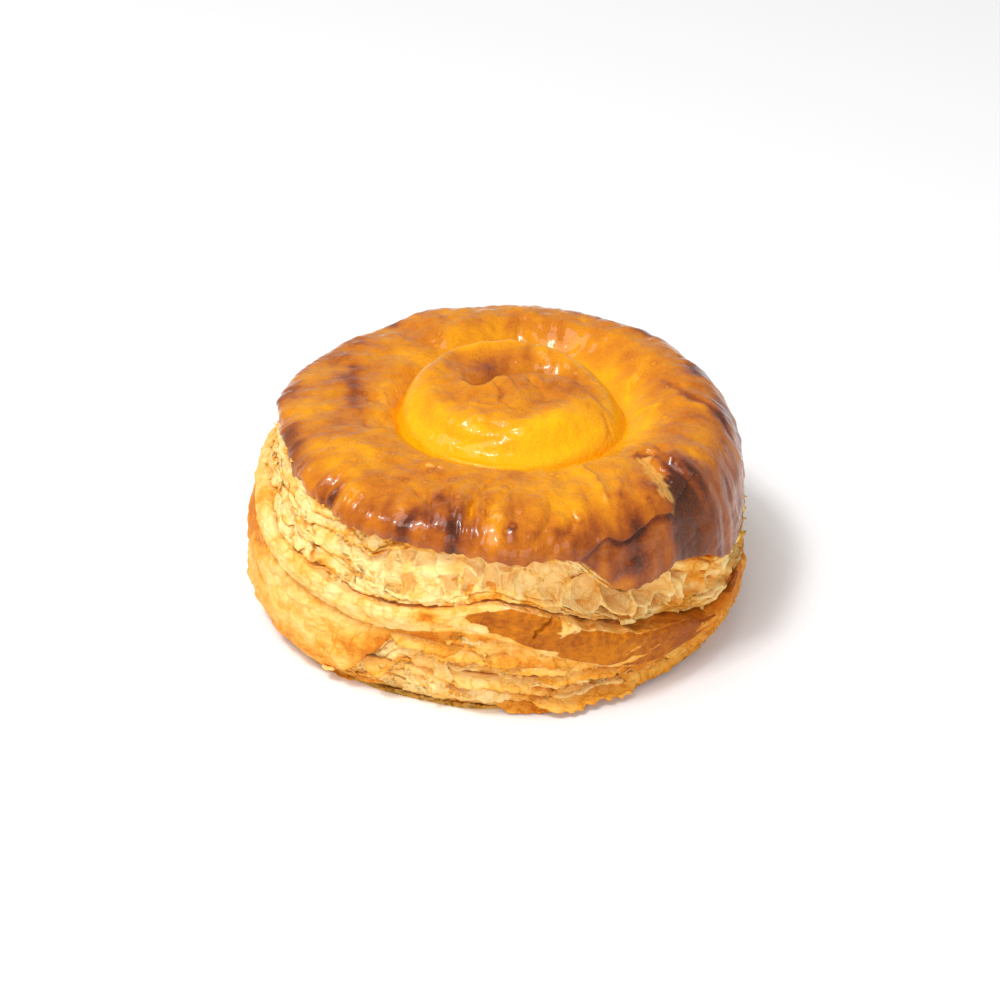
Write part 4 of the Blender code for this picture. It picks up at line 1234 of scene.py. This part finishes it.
def flake_turns(graph, normal, size):
    """How each flake turns away from the side that it lies along, and how large it is."""
    side = graph.vector("CROSS_PRODUCT", (0.0, 0.0, 1.0), normal)
    facing = graph.add("FunctionNodeAxesToRotation", {"primary_axis": "Z", "secondary_axis": "X"},
        (normal, side))
    tilt = graph.add("FunctionNodeRandomValue", {"data_type": "FLOAT_VECTOR"},
        {"Min": (-0.7, -0.3, -0.5), "Max": (0.5, 0.3, 0.5), "Seed": 4})
    turned = graph.add("FunctionNodeRotateRotation", {"rotation_space": "LOCAL"},
        (facing.outputs[0], tilt.outputs[0]))
    grown = graph.add("FunctionNodeRandomValue", {"data_type": "FLOAT_VECTOR"},
        {"Min": (0.4, 0.4, 0.6), "Max": (1.5, 1.3, 1.2), "Seed": 5})
    scale = graph.add("ShaderNodeVectorMath", {"operation": "SCALE"},
        {"Vector": grown.outputs[0], "Scale": size})
    return turned.outputs[0], scale.outputs[0]


def flake_graph():
    """Small curled flakes, scattered where the surface is flaky and lying along the side."""
    graph = Graph("flakes")
    wanted = {"Density": "Float", "Size": "Float", "Seed": "Int", "Material": "Material"}
    asked = {name: graph.ask(name, kind) for name, kind in wanted.items()}
    given = graph.add("NodeGroupInput").outputs
    variants = flake_shapes(graph)
    flaky = graph.add("GeometryNodeInputNamedAttribute", {"data_type": "FLOAT"},
        {"Name": "flaky"}).outputs["Attribute"]
    density = graph.add("ShaderNodeMath", {"operation": "MULTIPLY"}, (flaky, given["Density"])).outputs[0]
    points = graph.add("GeometryNodeDistributePointsOnFaces",
        inputs={"Mesh": given["Geometry"], "Density": density, "Seed": given["Seed"]})
    turned, scale = flake_turns(graph, points.outputs["Normal"], given["Size"])
    which = graph.add("FunctionNodeRandomValue", {"data_type": "INT"}, {"Seed": 6})
    for socket in which.inputs:
        if socket.name == "Max" and socket.type == "INT":
            socket.default_value = FLAKE_SHAPES - 1
    whole = [socket for socket in which.outputs if socket.type == "INT"][0]
    placed = graph.add("GeometryNodeInstanceOnPoints", inputs={
        "Points": points.outputs["Points"], "Instance": variants, "Pick Instance": True,
        "Instance Index": whole, "Rotation": turned, "Scale": scale,
    })
    baked = graph.add("FunctionNodeRandomValue", {"data_type": "FLOAT"}, {"Seed": 7})
    share = [socket for socket in baked.outputs if socket.type == "VALUE"][0]
    pale = graph.add("ShaderNodeMath", {"operation": "MULTIPLY"}, (share, 0.6)).outputs[0]
    marked = graph.add("GeometryNodeStoreNamedAttribute", {"data_type": "FLOAT", "domain": "INSTANCE"}, {
        "Geometry": placed.outputs[0], "Name": "toast", "Value": pale,
    })
    loose = graph.add("GeometryNodeRealizeInstances", inputs=(marked.outputs[0],))
    soft = graph.add("GeometryNodeSetShadeSmooth", inputs={"Geometry": loose.outputs[0]})
    painted = graph.add("GeometryNodeSetMaterial",
        inputs={"Geometry": soft.outputs[0], "Material": given["Material"]})
    graph.tree.links.new(painted.outputs[0], graph.add("NodeGroupOutput").inputs[0])
    return graph.tree, asked


def scatter_flakes(name, base, material, tree, asked, density, size, seed):
    """A mesh of the flakes that the graph scatters on one of the pastry's meshes."""
    holder = bpy.data.objects.new(name, base)
    bpy.context.scene.collection.objects.link(holder)
    modifier = holder.modifiers.new(name, "NODES")
    modifier.node_group = tree
    for ask, value in (("Density", density), ("Size", size), ("Seed", seed), ("Material", material)):
        modifier[asked[ask]] = value
    ready = holder.evaluated_get(bpy.context.evaluated_depsgraph_get())
    mesh = bpy.data.meshes.new_from_object(ready)
    holder.modifiers.clear()
    bpy.data.objects.remove(holder)
    mesh.name = name
    return mesh


# Materials


class Wire:
    """A socket that takes part in sums; each sum adds its Math node."""

    def __init__(self, recipe, socket):
        self.recipe, self.socket = recipe, socket

    def sum(self, operation, *parts, clamp=False):
        """The result of a sum; with no parts given, of a sum on this value alone."""
        return self.recipe.add("ShaderNodeMath", {"operation": operation, "use_clamp": clamp},
            parts or (self,))

    def __add__(self, other):
        return self.sum("ADD", self, other)

    __radd__ = __add__

    def __sub__(self, other):
        return self.sum("SUBTRACT", self, other)

    def __rsub__(self, other):
        return self.sum("SUBTRACT", other, self)

    def __mul__(self, other):
        return self.sum("MULTIPLY", self, other)

    __rmul__ = __mul__

    def __pow__(self, other):
        return self.sum("POWER", self, other)

    def held(self):
        """The value kept between 0 and 1."""
        return self.sum("ADD", self, 0.0, clamp=True)


class Recipe:
    """One material and the nodes in it."""

    def __init__(self, name):
        self.material = bpy.data.materials.new(name)
        self.material.use_nodes = True
        self.tree = self.material.node_tree
        self.shader = self.tree.nodes["Principled BSDF"]

    def add(self, kind, settings=None, inputs=(), output=0):
        """Adds a node and gives one of its outputs."""
        return Wire(self, new_node(self.tree, kind, settings, inputs).outputs[output])

    def place(self, stretch=(1, 1, 1)):
        """Object coordinates, with a pattern on them made finer along an axis by its stretch."""
        where = self.add("ShaderNodeTexCoord", output="Object")
        return self.add("ShaderNodeVectorMath", {"operation": "MULTIPLY"}, (where, stretch))

    def mark(self, name):
        return self.add("ShaderNodeAttribute", {"attribute_name": name}, output="Fac")

    def noise(self, where, scale, detail=3.0, rough=0.55):
        inputs = {"Vector": where, "Scale": scale, "Detail": detail, "Roughness": rough}
        return self.add("ShaderNodeTexNoise", inputs=inputs)

    def ridge(self, where, scale, sharpness):
        """Thin bent lines, 1 on the line and falling off beside it."""
        return (1.0 - (self.noise(where, scale, 4.0) * 2.0 - 1.0).sum("ABSOLUTE")) ** sharpness

    def cells(self, where, scale):
        """Rounded cells, 0 in their middles."""
        settings = {"feature": "SMOOTH_F1"}
        return self.add("ShaderNodeTexVoronoi", settings,
            {"Vector": where, "Scale": scale, "Smoothness": 0.4})

    def ramp(self, value, stops):
        return self.add("ShaderNodeValToRGB", {"stops": stops}, (value,))

    def blend(self, share, under, over, mode="MIX"):
        inputs = {0: share, 6: under, 7: over}
        return self.add("ShaderNodeMix", {"data_type": "RGBA", "blend_type": mode}, inputs, 2)

    def bump(self, height, distance, strength=1.0, under=None):
        inputs = {"Height": height, "Distance": distance, "Strength": strength}
        if under is not None:
            inputs["Normal"] = under
        return self.add("ShaderNodeBump", inputs=inputs)

    def finish(self, **inputs):
        for name, value in inputs.items():
            feed(self.tree, self.shader.inputs[name.replace("_", " ")], value)
        return self.material


def plain_colours():
    """The pastry's colours, each as a plain tuple."""
    group = bpy.context.scene.pastry_colours
    return SimpleNamespace(**{name: tuple(getattr(group, name)) for name in group.__annotations__})


def egg_glaze():
    """Egg-washed crust: yellow where it hardly baked, through amber and brown to scorched."""
    colours = plain_colours()
    recipe = Recipe("egg glaze")
    where = recipe.place()
    coarse, fine = recipe.noise(where, 240, 9.0, 0.66), recipe.noise(where, 1500, 3.0)
    bake = (recipe.mark("bake") + (coarse - 0.5) * 0.42 + (fine - 0.5) * 0.14).held()
    stops = (
        (0.0, colours.groove), (0.2, colours.yolk), (0.4, colours.amber), (0.58, colours.crust),
        (0.74, colours.brown), (0.88, colours.scorch), (1.0, colours.char),
    )
    colour = recipe.ramp(bake, stops)
    # Greyish scorch on the edges, mixed with a painted sheen of the glaze
    ash = (recipe.mark("ash") * (0.4 + 1.1 * recipe.noise(where, 420, 4.0))).held()
    colour = recipe.blend(ash * 0.6, colour, colours.ash)
    torn = (recipe.mark("torn") * (0.5 + recipe.noise(where, 1300, 2.0))).held()
    colour = recipe.blend(torn * 0.55, colour, colours.torn)
    raw = recipe.mark("raw")
    layers = recipe.ramp(recipe.noise(where, 900, 3.0), ((0.4, colours.toast), (0.6, colours.butter)))
    colour = recipe.blend(raw, colour, layers)
    specks = recipe.noise(where, 2600, 1.0) ** 5.0
    colour = recipe.blend((specks * 4.0).held() * 0.35, colour, colours.brown)
    skin_height = recipe.noise(where, 420, 4.0) + 0.35 * recipe.noise(where, 1700, 2.0)
    normal = recipe.bump(skin_height, 0.45 * MM)
    return recipe.finish(
        Base_Color=colour, Roughness=0.5, Specular_IOR_Level=0.06, Normal=normal,
        Coat_Weight=(0.5 + 0.5 * bake - 0.6 * torn - 0.8 * raw - 0.6 * ash).held(),
        Coat_Roughness=0.085, Coat_IOR=1.38,
        Subsurface_Weight=0.08, Subsurface_Radius=(1.0, 0.6, 0.1), Subsurface_Scale=1.2 * MM,
    )


def torn_dough():
    """Layered dough: cream faces, toasted edges, painted amber shade in the gaps and glazed brown patches."""
    colours = plain_colours()
    recipe = Recipe("torn dough")
    where, threads = recipe.place(), recipe.place((1, 1, 3))
    grain, fine = recipe.noise(where, 300, 6.0), recipe.noise(threads, 1100, 3.0)
    crease = recipe.ridge(where, 210, 12.0)
    pits = recipe.cells(where, 520)
    # Creases and pit middles of the bump get more toast: a painted warm shade in them
    toast = (recipe.mark("toast") + (grain - 0.5) * 0.7 + (fine - 0.5) * 0.3 + crease * 0.25
        + (0.45 - pits) * 0.08).held()
    stops = ((0.0, colours.cream), (0.35, colours.butter), (0.65, colours.gold), (1.0, colours.toast))
    colour = recipe.ramp(toast, stops)
    # The shade mark blends in the gap colour: painted shade in the gaps between leaves, in bubbles and under
    # lips
    shade = (recipe.mark("shade") * (0.75 + 0.5 * recipe.noise(where, 500, 2.0))).held()
    colour = recipe.blend(shade * 0.72, colour, colours.gap)
    # The darkest painted shade, in scorch colour, in the deepest gaps
    deepest_shade = (shade * 5.0 - 4.2).held()
    brown = ((recipe.mark("brown") - 0.42 + (recipe.noise(where, 420, 6.0) - 0.5) * 0.8) * 3.2).held()
    mottle = recipe.noise(where, 130, 3.0) * 0.6 + recipe.noise(where, 700, 5.0) * 0.4
    mottle = mottle + recipe.mark("toast") * 0.16 - 0.03
    baked = recipe.ramp(mottle, ((0.4, colours.glaze), (0.62, colours.brown)))
    colour = recipe.blend(brown, colour, baked)
    colour = recipe.blend(deepest_shade * 0.7, colour, colours.scorch)
    skin_height = recipe.noise(threads, 480, 6.0) + 0.4 * recipe.noise(where, 1500, 3.0) - 0.4 * crease
    skin_height = skin_height + 0.3 * pits * (1.0 - brown)
    normal = recipe.bump(skin_height, 0.5 * MM)
    return recipe.finish(
        Base_Color=colour, Roughness=0.55, Specular_IOR_Level=0.12, Normal=normal,
        Coat_Weight=(brown * 0.1).held(), Coat_Roughness=0.25, Coat_IOR=1.4,
        Subsurface_Weight=0.15, Subsurface_Radius=(1.0, 0.55, 0.22), Subsurface_Scale=1.2 * MM,
    )


def stage_material(name, colour, roughness):
    recipe = Recipe(name)
    return recipe.finish(Base_Color=colour, Roughness=roughness)


def kitchen(name, make):
    """The material of that name, made when it is first asked for."""
    return bpy.data.materials.get(name) or make()


# Add-on


def length(name, description, millimetres):
    return FloatProperty(name=name, description=description, default=millimetres * MM,
        unit="LENGTH", precision=5)


def colour(name, description, red, green, blue):
    return FloatVectorProperty(name=name, description=description, default=paint(red, green, blue),
        size=4, subtype="COLOR", min=0, max=1)


class PastrySizes(bpy.types.PropertyGroup):
    """Sizes of the pastry."""

    side_radius: length("Side radius", "From the middle to the flaky side", 54.0)
    foot_radius: length("Foot radius", "From the middle to the foot's edge", 50.5)
    swirl_height: length("Swirl height", "Top of the swirl above the table", 50.2)
    groove_height: length("Groove height", "Bottom of the groove above the table", 41.6)
    crest_radius: length("Crest radius", "From the lid's middle to the ring's crest", 40.0)
    lid_shift: length("Lid shift", "How far the lid sits to the right", 1.8)
    leaf_recess: length("Leaf recess", "How far the dough is drawn in between two leaves", 1.5)
    leaf_reach: length("Leaf reach", "How unevenly the leaves stand out", 0.65)
    upper_leaves: IntProperty(name="Upper leaves", description="Leaves between lid and tongue", default=8,
        min=4)
    lower_leaves: IntProperty(name="Lower leaves", description="Leaves between sheet and foot", default=6,
        min=3)


class PastryColours(bpy.types.PropertyGroup):
    """Colours of the pastry, from the least to the most baked."""

    groove: colour("Groove", "Egg wash pooled in the groove", 254, 177, 2)
    yolk: colour("Yolk", "Lightly baked egg wash", 242, 162, 4)
    amber: colour("Amber", "Baked egg wash", 219, 139, 8)
    crust: colour("Crust", "The ring's golden brown", 200, 115, 14)
    brown: colour("Brown", "Well baked crust", 166, 84, 14)
    scorch: colour("Scorch", "Edges that caught the heat", 122, 52, 12)
    char: colour("Char", "The darkest spots", 62, 26, 12)
    # Partly a greyish scorch on the edge, partly a painted sheen of the glaze
    ash: colour("Ash", "Greyish sheen on the scorched edge", 128, 78, 52)
    torn: colour("Torn", "Pale dough where the glaze tore", 246, 190, 98)
    cream: colour("Cream", "The palest dough", 255, 220, 150)
    butter: colour("Butter", "Pale dough", 251, 196, 104)
    gold: colour("Gold", "Lightly toasted dough", 244, 168, 58)
    toast: colour("Toast", "Toasted leaf edges", 218, 126, 28)
    # Painted shade, blended in where the shade mark is high: deep between the leaves, in bubbles and under
    # lips
    gap: colour("Gap", "Dough deep between the leaves", 212, 128, 42)
    glaze: colour("Tongue glaze", "The glazed tongue on the side", 214, 126, 4)


class PASTRY_OT_lid(bpy.types.Operator):
    """Builds the glazed lid: the swirl, the ring round it and the crust's hanging edge"""

    bl_idname = "pastry.lid"
    bl_label = "Glazed lid"

    def execute(self, context):
        glaze = kitchen("egg glaze", egg_glaze)
        for build in (build_swirl, build_ring, build_crust_edge):
            add_piece(build(), glaze)
        return {"FINISHED"}


class PASTRY_OT_leaves(bpy.types.Operator):
    """Builds the torn leaves of dough above the tongue and above the foot"""

    bl_idname = "pastry.leaves"
    bl_label = "Torn leaves"

    def execute(self, context):
        dough = kitchen("torn dough", torn_dough)
        half = context.scene.pastry_sizes.upper_leaves // 2
        leaves = (
            build_upper_leaves("upper leaves", 0, half), build_lower_leaves(),
            build_upper_leaves("middle leaves", half, context.scene.pastry_sizes.upper_leaves),
        )
        tree, asked = flake_graph()
        for count, mesh in enumerate(leaves):
            flakes = scatter_flakes(mesh.name + "_flakes", mesh, dough, tree, asked,
                density=9e4, size=2.4 * MM, seed=count)
            add_piece(mesh, dough)
            add_piece(flakes, dough)
        add_piece(build_pages(), dough)
        return {"FINISHED"}


class PASTRY_OT_wraps(bpy.types.Operator):
    """Builds the glazed tongue, the smooth sheet under the seam and the underside"""

    bl_idname = "pastry.wraps"
    bl_label = "Tongue, sheet and underside"

    def execute(self, context):
        dough = kitchen("torn dough", torn_dough)
        sheet = build_sheet()
        tree, asked = flake_graph()
        flakes = scatter_flakes("sheet_flakes", sheet, dough, tree, asked,
            density=6e4, size=3.4 * MM, seed=9)
        add_piece(flakes, dough)
        for mesh in (build_tongue(), sheet, build_underside()):
            add_piece(mesh, dough)
        return {"FINISHED"}


class PASTRY_OT_stage(bpy.types.Operator):
    """Sets up the pale floor, the soft lights and the camera"""

    bl_idname = "pastry.stage"
    bl_label = "Stage"

    def execute(self, context):
        scene = context.scene
        mesh = bpy.data.meshes.new("floor")
        work = bmesh.new()
        bmesh.ops.create_grid(work, x_segments=1, y_segments=1, size=3.0)
        work.to_mesh(mesh)
        work.free()
        floor = bpy.data.objects.new("floor", mesh)
        floor.data.materials.append(stage_material("pale floor", (0.93, 0.93, 0.94, 1.0), 0.6))
        scene.collection.objects.link(floor)
        add_light("key softbox", (-0.50, -0.26, 1.12), aim=(0, 0, 0.03), size=0.9, power=7.6)
        add_light("bare lamp", (-0.44, -0.3, 1.1), aim=(0, 0, 0.03), size=0.24, power=5.3)
        add_light("front fill", (0.2, -1.5, 0.6), aim=(0, 0, 0.02), size=1.3, power=8.9)
        world = bpy.data.worlds.new("white room")
        world.use_nodes = True
        world.node_tree.nodes["Background"].inputs["Color"].default_value = (1.0, 1.0, 1.0, 1.0)
        world.node_tree.nodes["Background"].inputs["Strength"].default_value = 0.48
        scene.world = world
        add_camera(scene)
        scene.view_settings.view_transform = "Standard"
        return {"FINISHED"}


def add_light(name, place, aim, size, power):
    light = bpy.data.lights.new(name, "AREA")
    light.shape = "RECTANGLE"
    light.size, light.size_y, light.energy = size, size * 0.75, power
    lamp = bpy.data.objects.new(name, light)
    lamp.location = place
    lamp.rotation_euler = (Vector(aim) - Vector(place)).to_track_quat("-Z", "Y").to_euler()
    bpy.context.scene.collection.objects.link(lamp)
    return lamp


def add_camera(scene):
    """The camera: 31 degrees above the table, aimed at half the pastry's height, 15 pixels above centre."""
    elevation, distance = math.radians(31), 0.61853
    data = bpy.data.cameras.new("camera")
    data.lens, data.sensor_width = 100, 36
    data.shift_y = -0.015
    camera = bpy.data.objects.new("camera", data)
    aim = Vector((0, 0, 0.025))
    camera.location = aim + distance * Vector((0, -math.cos(elevation), math.sin(elevation)))
    camera.rotation_euler = (math.pi / 2 - elevation, 0, 0)
    scene.collection.objects.link(camera)
    scene.camera = camera


class PASTRY_PT_panel(bpy.types.Panel):
    """Lists the pastry's pieces and sizes"""

    bl_idname = "PASTRY_PT_panel"
    bl_label = "Puff pastry"
    bl_space_type = "VIEW_3D"
    bl_region_type = "UI"
    bl_category = "Pastry"

    def draw(self, context):
        for operator in OPERATORS:
            self.layout.operator(operator.bl_idname)
        for group in (context.scene.pastry_sizes, context.scene.pastry_colours):
            column = self.layout.column()
            for name in group.__annotations__:
                column.prop(group, name)


OPERATORS = (PASTRY_OT_lid, PASTRY_OT_leaves, PASTRY_OT_wraps, PASTRY_OT_stage)
CLASSES = (PastrySizes, PastryColours, *OPERATORS, PASTRY_PT_panel)


def register():
    for entry in CLASSES:
        bpy.utils.register_class(entry)
    bpy.types.Scene.pastry_sizes = PointerProperty(type=PastrySizes)
    bpy.types.Scene.pastry_colours = PointerProperty(type=PastryColours)


def unregister():
    del bpy.types.Scene.pastry_colours
    del bpy.types.Scene.pastry_sizes
    for entry in reversed(CLASSES):
        bpy.utils.unregister_class(entry)


def main():
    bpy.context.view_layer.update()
    register()
    bpy.ops.pastry.lid()
    bpy.ops.pastry.leaves()
    bpy.ops.pastry.wraps()
    bpy.ops.pastry.stage()


if __name__ == "__main__":
    main()
